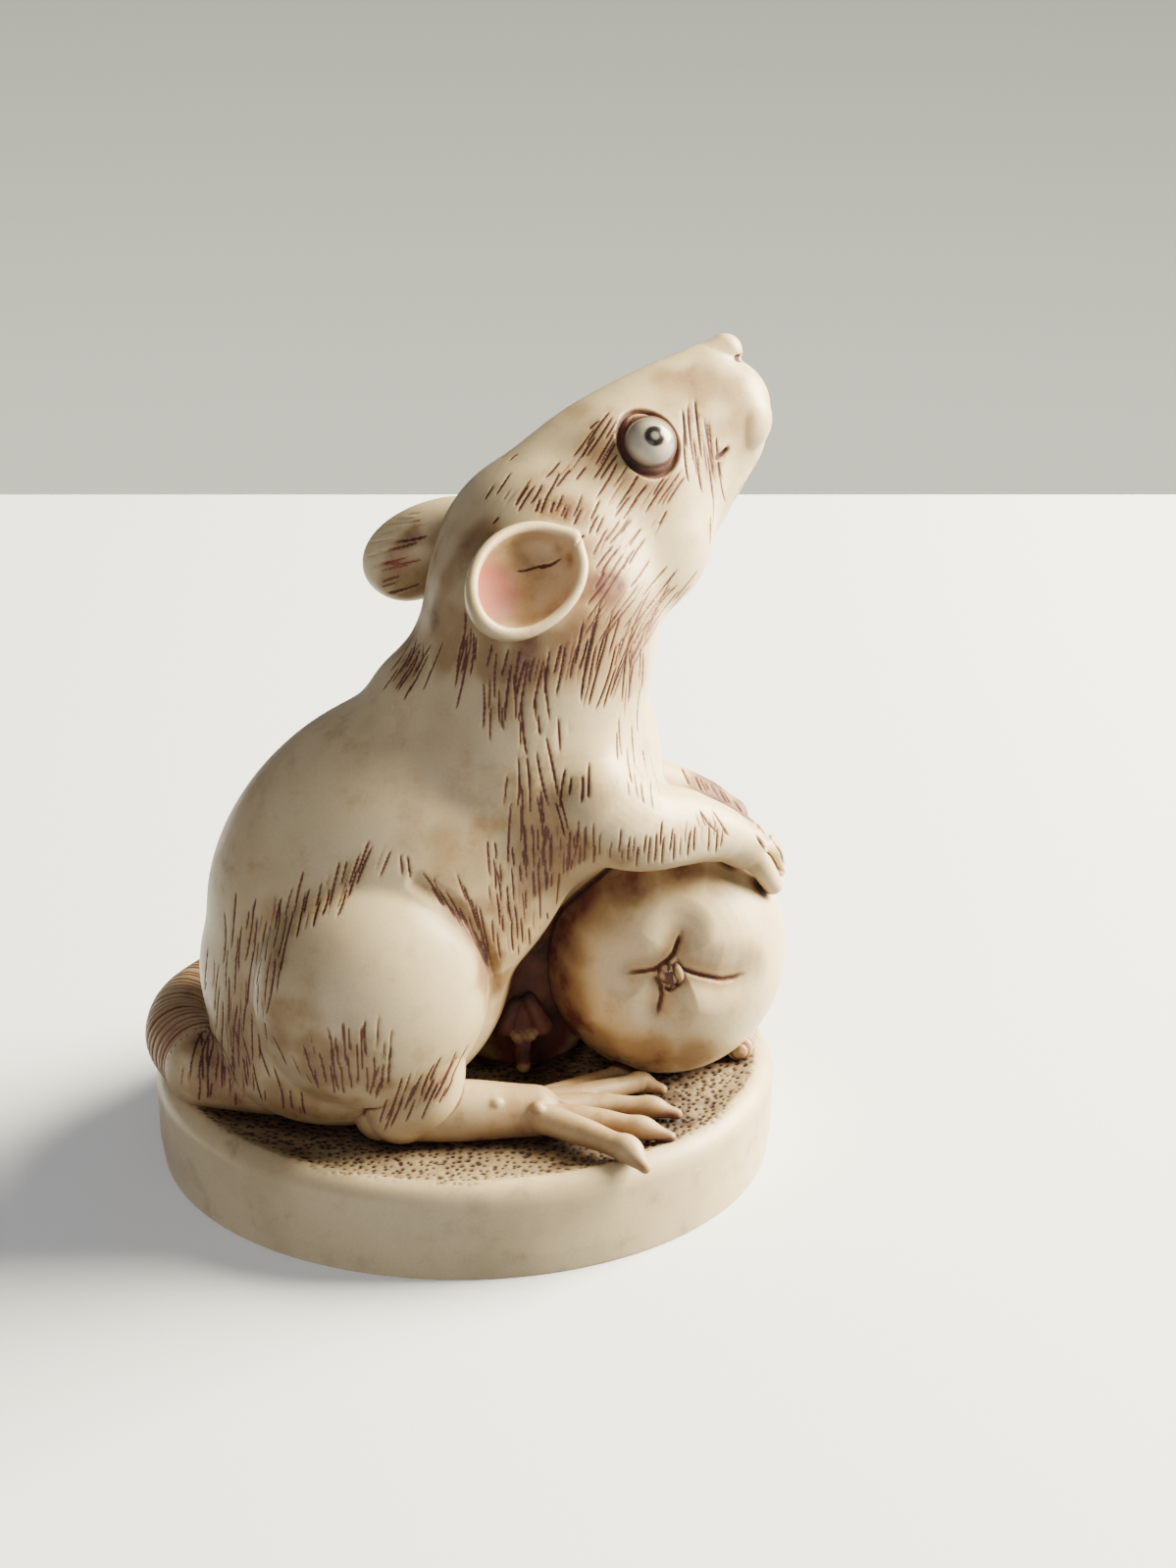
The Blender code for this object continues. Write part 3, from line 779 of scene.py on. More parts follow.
def eye_material():
    """Oil paint on the cast eyeballs: grey-white with a charcoal pupil, paler in its middle as a
    painted highlight, glossy; umber by the lids and painted shade on the lower halves.
    """
    colours = bpy.context.scene.ornament_colours
    material = bpy.data.materials.new("oil paint")
    material.use_nodes = True
    tree = material.node_tree
    shader = tree.nodes["Principled BSDF"]
    pupil = add_node(tree, "ShaderNodeAttribute", attribute_name="pupil").outputs["Fac"]
    stain = add_node(tree, "ShaderNodeAttribute", attribute_name="stain").outputs["Fac"]
    painted = add_node(tree, "ShaderNodeMix", data_type="RGBA",
                       values={6: (*colours.eyeball, 1.0), 7: (*colours.pupil, 1.0)},
                       links={0: pupil})
    # Umber by each lid and painted shade on the lower half of each eyeball.
    rimmed = add_node(tree, "ShaderNodeMix", data_type="RGBA",
                      values={7: (*colours.umber, 1.0)},
                      links={0: stain, 6: painted.outputs[2]})
    tree.links.new(rimmed.outputs[2], shader.inputs["Base Color"])
    shader.inputs["Roughness"].default_value = 0.22
    shader.inputs["IOR"].default_value = 1.5
    shader.inputs["Coat Weight"].default_value = 0.3
    shader.inputs["Coat Roughness"].default_value = 0.12
    return material


def material_named(name, maker):
    """A material, made the first time it is asked for."""
    return bpy.data.materials.get(name) or maker()


def resin():
    """The resin of every cast piece."""
    return material_named("stone-filled cast resin", resin_material)


# The mouse's masses


def trunk():
    """Rump, back, chest, shoulders, neck and the tops of the forelegs."""
    figure = figure_frame()
    forms = [
        ball(figure, (-9.7, 0.0, 11.4), (12.6, 11.0, 12.4)),
        ball(figure, (-11.2, 0.0, 5.6), (10.5, 10.6, 7.0)),
        ball(figure, (-6.4, 0.0, 19.8), (16.5, 10.9, 13.1), turned(41.0)),
        ball(figure, (5.4, 0.0, 27.3), (9.6, 9.0, 10.4)),
        ball(figure, (-3.0, 0.2, 32.9), (6.4, 6.4, 4.8), turned(35.0)),
        ball(figure, (4.6, 3.5, 9.0), (6.4, 4.0, 13.0)),
        ball(figure, (8.6, 1.6, 17.6), (4.2, 3.2, 4.2)),
    ]
    forms += pair(figure, (5.8, 5.6, 26.6), (5.6, 4.4, 7.6), turned(-15.0))
    forms += limb(figure, [(2.0, 0.0, 29.6, 10.0), (4.8, 0.0, 36.3, 9.4), (5.9, 0.5, 41.2, 9.3)])
    forms += limb(figure, RIGHT_ARM[:3]) + limb(figure, LEFT_ARM[:3])
    return forms


RIGHT_ARM = ((7.2, -6.6, 27.2, 4.6), (11.1, -6.4, 24.1, 3.8), (16.0, -4.9, 22.5, 3.0),
             (19.2, -4.0, 21.1, 2.2), (20.9, -3.6, 19.9, 1.9))
LEFT_ARM = ((5.6, 4.8, 26.4, 4.4), (10.2, 4.2, 23.9, 3.4), (15.3, 3.0, 22.6, 2.5),
            (19.4, 2.3, 20.9, 2.0), (21.3, 2.2, 19.8, 1.6))
RIGHT_FINGERS = (((22.4, -3.9, 18.0), (23.6, -3.1, 15.9), 1.0),
                 ((23.8, -2.2, 18.4), (24.5, -1.6, 16.4), 0.72),
                 ((24.2, -0.9, 18.4), (24.8, -0.3, 16.8), 0.6))
LEFT_FINGERS = (((23.4, 1.2, 18.6), (24.5, 1.1, 16.7), 0.6),
                ((23.2, 2.6, 18.1), (24.1, 2.6, 16.0), 0.75),
                ((22.4, 3.9, 17.4), (23.1, 4.3, 15.3), 0.75))
TOES = (((5.9, 14.7), (8.4, 17.2), (9.3, 19.0), 0.95),
        ((7.5, 12.3), (10.4, 13.7), (12.4, 14.7), 0.8),
        ((8.2, 9.6), (12.0, 10.5), (13.8, 11.2), 0.76),
        ((9.1, 7.3), (12.1, 6.3), (13.6, 7.0), 0.76),
        ((8.0, 5.3), (10.9, 3.9), (12.2, 3.5), 0.6))


def skull():
    """Skull, cheeks, muzzle and jaw."""
    head = head_frame()
    forms = [
        ball(head, (6.0, 0.0, -3.0), (9.6, 8.6, 8.9)),
        ball(head, (13.0, 0.0, -2.0), (9.4, 7.0, 7.8)),
    ]
    forms += pair(head, (11.5, 3.0, -5.8), (6.6, 4.4, 5.2))
    forms += limb(head, [(12.0, 0.0, -1.4, 6.9), (19.0, 0.0, -1.3, 5.4), (24.2, 0.0, -1.5, 4.2)])
    forms += limb(head, [(14.0, 0.0, -6.6, 4.2), (20.0, 0.0, -5.6, 3.1), (24.2, 0.0, -4.6, 2.4)])
    forms += limb(head, [(6.0, 0.0, 2.4, 3.5), (14.0, 0.0, 3.2, 2.9), (21.0, 0.0, 2.6, 2.4),
                         (25.4, 0.0, 2.1, 1.9)])
    return forms


def thighs():
    """Haunches, crisper than the trunk that they lie against."""
    return pair(figure_frame(), (-10.0, 8.6, 12.9), (9.2, 6.6, 9.6), turned(10.0))


def muzzle():
    """Tip of the nose and the lip pads."""
    head = head_frame()
    forms = limb(head, [(22.0, 0.0, 2.3, 1.9), (26.9, 0.0, 2.0, 1.4)])
    forms += pair(head, (24.4, 1.7, -2.4), (2.8, 2.4, 2.9))
    return forms


def ear_place(side):
    """Place of an ear on the head: +Z out of its mouth."""
    tip = Matrix.Diagonal((1.0, side, 1.0, 1.0))
    opens = rotation(-12.0, "Z") @ rotation(24.0, "X") @ rotation(-90.0, "X")
    return Matrix.Translation((EAR_AT[0], side * EAR_AT[1], EAR_AT[2])) @ tip @ opens


def ear_shape(side):
    """Place and size of an ear: its rim is the unit circle there, its bottom one unit down."""
    own = sizes()
    reach = Matrix.Diagonal((own.ear_length / MM / 2, own.ear_breadth / MM / 2, EAR_DEPTH, 1.0))
    return head_frame() @ ear_place(side) @ reach


def ear(side):
    """Cupped ear with a thick rolled rim and a corner at its front: side is +1 for the left."""
    mean = (sizes().ear_length + sizes().ear_breadth) / MM / 4
    steps = 16
    outline = []
    wall = EAR_WALL / mean
    for scale, deep, order in ((1.0 - wall, 1.0 - EAR_WALL / EAR_DEPTH, range(steps + 1)),
                               (1.0, 1.0, range(steps, -1, -1))):
        for step in order:
            angle = math.radians(90.0 * step / steps)
            outline.append((scale * math.sin(angle), -deep * math.cos(angle)))
        if scale < 1.0:
            for step in range(1, 8):
                angle = math.radians(180.0 * step / 8)
                outline.append((1.0 - 0.5 * wall * (1.0 + math.cos(angle)),
                                0.5 * EAR_WALL / EAR_DEPTH * math.sin(angle)))
    cup = turned_form("ear", outline, 64)
    for vert in cup.data.vertices:
        around = math.atan2(vert.co.y, vert.co.x)
        share = math.hypot(vert.co.x, vert.co.y)
        corner = 1.0 + 0.09 * share * math.exp(-(around / 0.2) ** 2)
        vert.co.x *= corner
        vert.co.y *= corner
        vert.co.z += 0.14 * share * math.sin(2.0 * around)
    cup.matrix_world = ear_shape(side)
    return [cup] + limb(head_frame(), [(2.4, side * 3.6, -0.8, 2.6), (1.8, side * 4.6, -0.2, 2.3)])


def clear_ears(skin):
    """Presses the head down where it would stand up through the bowl of an ear."""
    for side in (-1.0, 1.0):
        shape = ear_shape(side)
        inward = shape.inverted()
        for vert in skin.data.vertices:
            spot = inward @ vert.co
            flat = spot.x * spot.x + spot.y * spot.y
            if flat < 0.81:
                bottom = -math.sqrt(0.85 - flat)
                if bottom < spot.z < 1.3:
                    vert.co = shape @ Vector((spot.x, spot.y, bottom))
    return skin


def gaze(u, v):
    """Direction from the near eye, in the head's frame, of the spot on it seen at a pixel."""
    head = head_frame()
    centre = head @ Vector((EYE_AT[0], -EYE_AT[1], EYE_AT[2]))
    start = camera_place()
    line = sight_line(u, v)
    offset = start - centre
    half = offset.dot(line)
    inside = half * half - offset.length_squared + (sizes().eye_diameter / 2) ** 2
    spot = start + line * (-half - math.sqrt(max(0.0, inside)))
    return (head.inverted().to_3x3() @ (spot - centre)).normalized()


def lids():
    """Lids: a ball behind each eyeball, a little broader, that leaves a round part of it bare."""
    look = gaze(*EYE_MIDDLE)
    sunk = Vector(EYE_AT) - LID_SINKS * Vector((look.x, -look.y, look.z))
    return pair(head_frame(), sunk, (sizes().eye_diameter / MM / 2 + LID_OVER,) * 3)


def arms():
    """Forelegs reaching over the fruit, with the fingers laid on it."""
    figure = figure_frame()
    forms = []
    for arm, fingers in ((RIGHT_ARM, RIGHT_FINGERS), (LEFT_ARM, LEFT_FINGERS)):
        forms += limb(figure, arm)
        for middle, tip, radius in fingers:
            knuckle = (*(Vector(arm[-1][:3]).lerp(Vector(middle), 0.2)), 1.35 * radius)
            forms += limb(figure, [knuckle, (*middle, radius), (*tip, 0.85 * radius)])
    return forms


def legs():
    """Shins, long hind feet and knobbly toes with claws."""
    figure = figure_frame()
    shin = [(-6.6, 10.0, 8.0, 3.6), (-6.8, 10.0, 5.2, 3.5), (-8.0, 9.2, 2.9, 3.0)]
    foot = [(-9.4, 8.4, 2.0, 2.2), (-4.0, 9.6, 2.2, 2.5), (2.4, 10.4, 1.8, 2.1)]
    forms = []
    for leg in (shin, foot):
        forms += limb(figure, leg) + limb(figure, mirrored(leg))
    for bend, knuckle, claw, radius in TOES:
        joint = Vector((*knuckle, 1.35 * radius))
        before = Vector((*bend, 1.7 * radius)).lerp(joint, 0.6)
        after = joint.lerp(Vector((*claw, 0.55)), 0.55)
        toe = [(2.8, 10.4 + 0.35 * (bend[1] - 10.4), 1.9, 1.3 * radius),
               (*bend, 1.7 * radius, 1.15 * radius), (*before, 1.04 * radius),
               (*joint, 1.20 * radius), (*after, 0.80 * radius), (*claw, 0.55, 0.46)]
        forms += limb(figure, toe) + limb(figure, mirrored(toe))
    for x, y, z in ((-0.9, 11.5, 3.5), (2.3, 12.2, 3.05)):
        forms += pair(figure, (x, y, z), (0.6, 0.55, 0.55), segments=16)
    return forms


TAIL_ROUTE = ((216.0, 7.0, 3.4), (203.0, 3.0, 2.8), (184.0, 2.2, 2.7), (163.0, 2.8, 2.5),
              (134.0, 4.2, 2.0), (100.0, 4.0, 1.5), (70.0, 3.8, 1.2), (40.0, 3.6, 1.0),
              (14.0, 2.2, 1.0), (-3.0, 2.8, 1.0))
TAIL_ROOT_RADIUS = 3.6
TAIL_TIP_RADIUS = 1.2


def tail_stations():
    """The tail's way round the back of the base, with its thickness."""
    stations = []
    for number, (degrees, inset, height) in enumerate(TAIL_ROUTE):
        turn = math.radians(degrees)
        share = number / (len(TAIL_ROUTE) - 1)
        radius = TAIL_ROOT_RADIUS + (TAIL_TIP_RADIUS - TAIL_ROOT_RADIUS) * share ** 0.85
        stations.append(((sizes().base_length / MM / 2 - inset) * math.cos(turn),
                         (sizes().base_width / MM / 2 - inset) * math.sin(turn),
                         ground_height() + height, radius))
    return stations


# Lines on the surface


class Surface:
    """A skin that lines are laid on."""

    def __init__(self, thing):
        bpy.context.view_layer.update()
        self.tree = BVHTree.FromObject(thing, bpy.context.evaluated_depsgraph_get())

    def seen(self, u, v):
        """Place and facing where a pixel of the photograph meets the skin."""
        place, facing, _, _ = self.tree.ray_cast(camera_place(), sight_line(u, v))
        return (place, facing) if place is not None else None

    def nearest(self, place):
        """Place and facing of the closest point of the skin."""
        found, facing, _, _ = self.tree.find_nearest(place)
        return found, facing


def laid_line(hits, lift, faint=0.0):
    """A line along hits on the skin, raised all along to cut faintly and at its ends to fade."""
    line = []
    for number, (place, facing) in enumerate(hits):
        share = 2.0 * number / max(1, len(hits) - 1) - 1.0
        line.append(place + facing * (faint + lift * share ** 4))
    return line


def lines_object(name, lines):
    """Lines as a mesh of edges."""
    mesh = bpy.data.meshes.new(name)
    bm = bmesh.new()
    for line in lines:
        verts = [bm.verts.new(place) for place in line]
        for start, end in zip(verts, verts[1:]):
            bm.edges.new((start, end))
    bm.to_mesh(mesh)
    bm.free()
    return placed(mesh)


def spread_along(spine, share):
    """Point at a share of a line's length."""
    lengths = [math.dist(a, b) for a, b in zip(spine, spine[1:])]
    rest = share * sum(lengths)
    for (a, b), length in zip(zip(spine, spine[1:]), lengths):
        if rest <= length or (a, b) == (spine[-2], spine[-1]):
            part = min(1.0, rest / length)
            return a[0] + (b[0] - a[0]) * part, a[1] + (b[1] - a[1]) * part
        rest -= length


# Patches of fur, seen in the photograph, in its pixels: a spine across the strokes, how far the
# patch reaches along them, their lean from upright at each end of the spine in degrees (positive
# leans to the right), their length, the gap from one to the next, and the frame that repeats them
# on the far side.
FUR = (
    ("before the eye", ((699, 452), (716, 462), (736, 480)), 66, -4, -10, 72, 6, "head"),
    ("behind the eye", ((590, 458), (612, 452), (632, 446)), 44, 36, 30, 46, 9, "head"),
    ("lower lid", ((612, 474), (632, 494), (660, 508), (692, 498)), 26, 32, 34, 44, 7, "head"),
    ("cheek", ((626, 528), (640, 545), (655, 555)), 44, 36, 34, 32, 8, "head"),
    ("cheekbone", ((668, 532), (676, 536)), 14, 28, 28, 32, 5.5, "head"),
    ("crown", ((520, 508), (530, 512)), 20, 35, 35, 36, 8, "head"),
    ("over the ear", ((545, 522), (570, 524), (600, 528), (618, 552)), 20, 22, 28, 34, 6.5, "head"),
    ("behind the jaw", ((600, 592), (626, 606), (655, 622), (690, 622)), 74, 34, 38, 55, 6, "head"),
    ("jaw", ((742, 530), (752, 508), (764, 484)), 16, 28, 30, 44, 5.5, "head"),
    ("under the jaw", ((728, 520), (722, 550)), 18, -4, 6, 46, 7.5, "head"),
    ("collar", ((478, 660), (520, 668), (560, 672), (612, 672)), 66, 6, 14, 80, 6.5, "head"),
    ("collar ends", ((488, 712), (524, 722), (560, 712)), 40, 0, -4, 69, 12, "head"),
    ("throat", ((636, 700), (655, 690)), 70, 6, 4, 52, 5, "head"),
    ("nape", ((400, 688), (430, 676), (455, 668), (480, 672)), 44, 38, 14, 55, 9, "head"),
    ("behind the ear", ((474, 610), (482, 640)), 60, 8, 4, 55, 7.5, "head"),
    ("breast", ((630, 768), (648, 762), (664, 776)), 44, -2, -14, 57, 5.5, "figure"),
    ("breast below", ((640, 806), (652, 806), (672, 812)), 20, -4, -6, 36, 7.5, "figure"),
    ("shoulder", ((514, 834), (538, 826), (570, 814)), 84, 4, -14, 60, 10, "figure"),
    ("upper arm", ((574, 806), (600, 800)), 16, 6, 2, 39, 9.5, "figure"),
    ("forearm fringe", ((552, 868), (592, 868), (640, 870), (690, 858), (742, 850)),
     22, 4, 6, 39, 5.5, "figure"),
    ("wrist", ((712, 838), (736, 840)), 10, -18, -20, 29, 5.5, "figure"),
    ("armpit", ((530, 872), (556, 880), (584, 884)), 60, -6, 6, 39, 6.5, "figure"),
    ("belly", ((500, 920), (525, 925), (556, 905)), 110, -6, -2, 34, 10, "figure"),
    ("haunch top", ((250, 952), (290, 932), (325, 922), (352, 902), (366, 888)),
     44, 8, 18, 44, 9.5, "figure"),
    ("haunch crest", ((372, 884), (394, 878)), 8, 20, 22, 44, 10, "figure"),
    ("haunch brow", ((408, 882), (430, 896), (444, 906)), 8, -4, -12, 36, 10, "figure"),
    ("haunch front", ((446, 914), (466, 932), (484, 956), (500, 984)),
     26, -34, -14, 49, 5, "figure"),
    ("haunch back", ((226, 990), (256, 1000), (288, 985)), 110, 2, 10, 72, 9.5, "figure"),
    ("haunch under", ((236, 1070), (262, 1088), (298, 1100), (330, 1106)),
     44, -8, -28, 55, 7.5, "figure"),
    ("haunch hem", ((316, 1092), (346, 1080), (372, 1078), (398, 1080)),
     52, -14, 4, 44, 7.5, "figure"),
    ("shin", ((370, 1124), (400, 1122), (432, 1112), (464, 1094)), 54, 18, 28, 42, 7.5, "figure"),
    ("far ear", ((412, 522), (392, 556), (410, 602)), 60, 84, 74, 60, 6, "head"),
    ("far foreleg", ((694, 786), (722, 800), (752, 822)), 14, -24, -30, 39, 5.5, "figure"),
    ("tail root", ((206, 1068), (228, 1074), (252, 1084)), 56, 2, -8, 52, 5.5, "figure"),
    ("collar roots", ((498, 668), (540, 676), (596, 670)), 36, 12, 16, 44, 9, "head"),
    ("collar back", ((470, 640), (474, 690)), 34, 6, 10, 55, 10, "head"),
    ("throat roots", ((640, 664), (660, 652)), 30, 20, 30, 42, 7.5, "head"),
    ("above the ear", ((500, 500), (530, 505), (560, 500)), 20, 34, 30, 32, 10.5, "head"),
    ("rump", ((198, 1000), (232, 1030), (270, 1050)), 70, 10, -4, 50, 10.5, "figure"),
    ("rump hem", ((186, 1104), (226, 1114), (272, 1124), (336, 1136)), 30, 4, -12, 36, 8, "figure"),
    ("belly fold", ((470, 906), (490, 940), (500, 976)), 20, -20, -8, 40, 8, "figure"),
    ("temple", ((560, 480), (590, 486)), 18, 40, 36, 26, 12, "head"),
    ("collar front", ((596, 672), (632, 668), (664, 640)), 80, 10, 26, 72, 7.5, "head"),
    ("neck side", ((500, 736), (540, 742), (584, 738)), 30, 2, -6, 40, 16, "head"),
)

# Grooves seen in the photograph, in its pixels
MOUTH = ((742, 458), (737, 464), (731, 468))
NOSTRIL = ((768, 368), (758, 363), (751, 366))
EAR_CREASES = (((596, 545), (592, 549), (588, 554)), ((594, 549), (590, 553), (585, 557)),
               ((520, 583), (535, 582), (548, 578), (562, 575), (578, 567)),
               ((548, 580), (560, 577), (570, 572)))
HAUNCH_EDGE = ((425, 900), (456, 920), (482, 946), (499, 980), (506, 1014))
FRUIT_LINES = (((695, 948), (691, 960), (687, 972), (681, 979), (667, 989), (652, 991), (635, 992)),
               ((688, 975), (695, 988), (712, 994), (735, 999), (748, 997), (760, 992)),
               ((667, 992), (673, 1004), (675, 1015), (672, 1027), (670, 1037)),
               ((697, 992), (692, 1004), (682, 1010), (675, 1006)))
SEPALS = (((673, 985), (680, 1005), 0.36), ((681, 982), (686, 1008), 0.40),
          ((688, 982), (693, 1003), 0.36))
FRECKLES = (((600, 438), (606, 432), (611, 429)), ((501, 535), (505, 531), (509, 527)),
            ((518, 471), (523, 466), (528, 463)))
HAND_LINES = (((713, 825), (722, 840), (735, 852)), ((724, 822), (735, 840), (745, 856)))
FINGER_GROOVES = (((770, 850), (785, 873), (793, 886), (800, 890)),
                  ((764, 838), (784, 851), (796, 868), (801, 886)))

# Where the wash was left thicker, and painted shade where shadow falls on the belly, under the
# forelegs and on the far foreleg, in the photograph's pixels, with its reach in millimetres and
# its strength
WASH_AND_SHADE_SPOTS = (((612, 600), 3.8, 0.62), ((600, 634), 3.3, 0.50), ((604, 562), 2.2, 0.46),
           ((575, 662), 3.0, 0.42), ((534, 674), 3.6, 0.48), ((500, 668), 3.2, 0.40),
           ((458, 640), 5.0, 0.34), ((430, 600), 5.0, 0.30), ((486, 560), 4.0, 0.30),
           ((570, 522), 2.2, 0.40), ((596, 524), 1.9, 0.36), ((650, 494), 1.8, 0.24),
           ((684, 496), 1.6, 0.30), ((733, 466), 1.5, 0.38), ((712, 396), 4.2, 0.30),
           ((744, 404), 3.4, 0.28), ((744, 436), 3.0, 0.24), ((590, 418), 1.9, 0.20),
           ((650, 690), 2.6, 0.32), ((530, 840), 3.0, 0.22), ((574, 874), 3.0, 0.44),
           ((272, 960), 4.1, 0.16), ((250, 1030), 4.8, 0.22), ((480, 944), 2.9, 0.32),
           ((640, 626), 2.9, 0.34), ((640, 876), 2.2, 0.30), ((700, 782), 3.6, 0.54),
           ((730, 800), 3.8, 0.56), ((760, 826), 3.4, 0.50), ((404, 540), 3.4, 0.30),
           ((392, 590), 3.4, 0.34), ((218, 1060), 4.1, 0.36), ((540, 900), 3.6, 0.40),
           ((520, 930), 4.6, 0.34), ((470, 884), 5.4, 0.20), ((494, 990), 3.2, 0.40),
           ((470, 930), 2.6, 0.36), ((300, 1128), 4.0, 0.30), ((210, 1110), 4.0, 0.32),
           ((775, 880), 1.8, 0.20))
# On the fruit these spots are painted shade on its upper left and its bottom, with some wash.
FRUIT_WASH_AND_SHADE_SPOTS = (((590, 914), 5.0, 0.58), ((568, 960), 5.0, 0.60), ((564, 1008), 5.0, 0.60),
                 ((578, 1046), 5.0, 0.56), ((608, 1064), 4.8, 0.48), ((656, 1078), 4.4, 0.42),
                 ((706, 1078), 3.4, 0.28), ((636, 892), 4.4, 0.52), ((692, 888), 3.4, 0.38),
                 ((735, 900), 2.6, 0.26))

# The near ear and the near eye in the photograph, in its pixels
NEAR_EAR = (537, 591)
NEAR_EAR_REACH = 66
PUPIL = (668, 444)
EYE_MIDDLE = (663, 450)


def stroke(surface, x, y, lean, along, long, bend):
    """Hits of one fur stroke, as far as it stays on the skin and clear of the near ear."""
    hits = []
    for step in range(9):
        part = step / 8 - 0.5
        off = bend * (1.0 - 4.0 * part * part)
        down = along + part * long
        u = x - down * math.sin(lean) + off * math.cos(lean)
        v = y + down * math.cos(lean) + off * math.sin(lean)
        hidden = math.dist((u, v), NEAR_EAR) < NEAR_EAR_REACH
        hit = None if hidden else surface.seen(u, v)
        if hit is None and not hits:
            continue
        if hit is None or (hits and (hit[0] - hits[-1][0]).length > 1.2 * MM):
            break
        hits.append(hit)
    return hits


def fur_lines(surface):
    """Every fur stroke, patch by patch, on both sides of the mouse."""
    chance = random.Random(sizes().seed)
    across = {"head": mirror_in(head_frame()), "figure": mirror_in(figure_frame())}
    lines = []
    for _, spine, reach, lean_first, lean_last, length, gap, side in FUR:
        span = sum(math.dist(a, b) for a, b in zip(spine, spine[1:]))
        columns = max(2, round(span / gap) + 1)
        rows = max(1, round(reach / (0.58 * length)))
        for column in range(columns):
            for row in range(rows):
                share = min(1.0, max(0.0, (column + 0.5 * (row % 2)
                                           + chance.uniform(-0.3, 0.3)) / (columns - 1)))
                x, y = spread_along(spine, share)
                lean = math.radians(lean_first + (lean_last - lean_first) * share
                                    + chance.uniform(-2.5, 2.5))
                step_in = math.remainder(0.618 * column, 1.0) + chance.uniform(-0.2, 0.2)
                along = reach * ((row + 0.5 + 0.9 * step_in) / rows - 0.5)
                long = length * chance.uniform(0.65, 1.45)
                bend = chance.uniform(-0.05, 0.05) * long
                hits = stroke(surface, x, y, lean, along, long, bend)
                if len(hits) < 4:
                    continue
                faint = chance.uniform(0.0, 0.11) ** 2 * 9.0 * MM
                lines.append(laid_line(hits, STROKE_FADE * MM, faint))
                other = [surface.nearest(across[side] @ place) for place, _ in hits]
                if (other[0][0] - across[side] @ hits[0][0]).length < 3.0 * MM:
                    lines.append(laid_line(other, STROKE_FADE * MM, faint))
    return lines


def seen_line(surface, pixels, steps=24):
    """A line through pixels of the photograph, laid on the skin."""
    hits = [surface.seen(*spread_along(pixels, step / steps)) for step in range(steps + 1)]
    return [hit for hit in hits if hit is not None]


def ring_round(surface, place, centre, radius, steps=48):
    """Closed line on the skin, round a point of a frame, facing the frame's side."""
    side = math.copysign(1.0, centre[1])
    hits = []
    for step in range(steps + 1):
        angle = 2.0 * math.pi * step / steps
        out = Vector((radius * math.cos(angle), 8.0 * side, radius * math.sin(angle)))
        start = place @ (Vector(centre) + out)
        end = place @ (Vector(centre) + Vector((out.x, -4.0 * side, out.z)))
        found, facing, _, _ = surface.tree.ray_cast(start, (end - start).normalized())
        hits.append((found, facing))
    return [hit[0] for hit in hits if hit[0] is not None]


def socket_lines(surface):
    """Grooves round the lids."""
    reach = sizes().eye_diameter / MM / 2 + LID_OVER + 0.15
    centres = [(EYE_AT[0], side * EYE_AT[1], EYE_AT[2]) for side in (-1.0, 1.0)]
    return [ring_round(surface, head_frame(), centre, reach) for centre in centres]


def crease_lines(surface):
    """Deeper grooves at the mouth and the nostrils."""
    lines = []
    for pixels in (MOUTH, NOSTRIL):
        lines += both_sides(surface, seen_line(surface, pixels), mirror_in(head_frame()))
    return lines


def finger_lines(surface):
    """Grooves between the fingers."""
    lines = []
    for pixels in FINGER_GROOVES:
        lines += both_sides(surface, seen_line(surface, pixels), mirror_in(figure_frame()))
    return lines


def single_lines(surface):
    """Fine cuts that stand alone: in the ears, on the hands and a few on the head."""
    lines = []
    for group, place in ((EAR_CREASES, head_frame()), (FRECKLES, head_frame()),
                         (HAND_LINES, figure_frame())):
        for pixels in group:
            lines += both_sides(surface, seen_line(surface, pixels), mirror_in(place))
    return lines


def root_rings(surface):
    """Rings where the tail leaves the rump, like those along the rest of it."""
    first, second = [Vector(station[:3]) for station in tail_stations()[:2]]
    radii = [station[3] for station in tail_stations()[:2]]
    along = (second - first).normalized()
    side = along.cross(Vector((0.0, 0.0, 1.0))).normalized()
    count = int((second - first).length * MM / sizes().ring_pitch)
    lines = []
    for ring in range(2, count + 1):
        share = ring / count
        centre = first.lerp(second, share)
        radius = radii[0] + (radii[1] - radii[0]) * share
        hits = []
        for step in range(25):
            angle = math.radians(-20.0 + 230.0 * step / 24)
            out = side * math.cos(angle) + Vector((0.0, 0.0, math.sin(angle)))
            hits.append(surface.nearest((centre + out * radius) * MM))
        lines.append(laid_line(hits, STROKE_FADE * MM, 0.03 * MM))
    return lines


def smudge(piece, surface, spots, across, ragged=0.12):
    """Keeps how thick the wash and the painted shade lie at every point, with ragged edges, and
    their reflection.
    """
    places = points_of(piece)
    edge = ragged * np.sin(places / MM * (1.9, 2.3, 2.1) + (0.0, 1.0, 2.0)).sum(axis=1)
    marks = np.zeros(len(places))
    for spot, reach, strength in spots:
        hit = surface.seen(*spot)
        if hit is not None:
            for centre in (hit[0], surface.nearest(across @ hit[0])[0]):
                away = np.linalg.norm(places - np.array(centre), axis=1) / (reach * MM)
                marks = np.maximum(marks, strength * eased(away + edge, 1.0, 0.2))
    # The smudge attribute holds painted shade as well as wash.
    write_attribute(piece, "smudge", marks)


def both_sides(surface, hits, across):
    """A line along hits on the skin, and its reflection."""
    other = [surface.nearest(across @ spot) for spot, _ in hits]
    return [laid_line(hits, STROKE_FADE * MM), laid_line(other, STROKE_FADE * MM)]


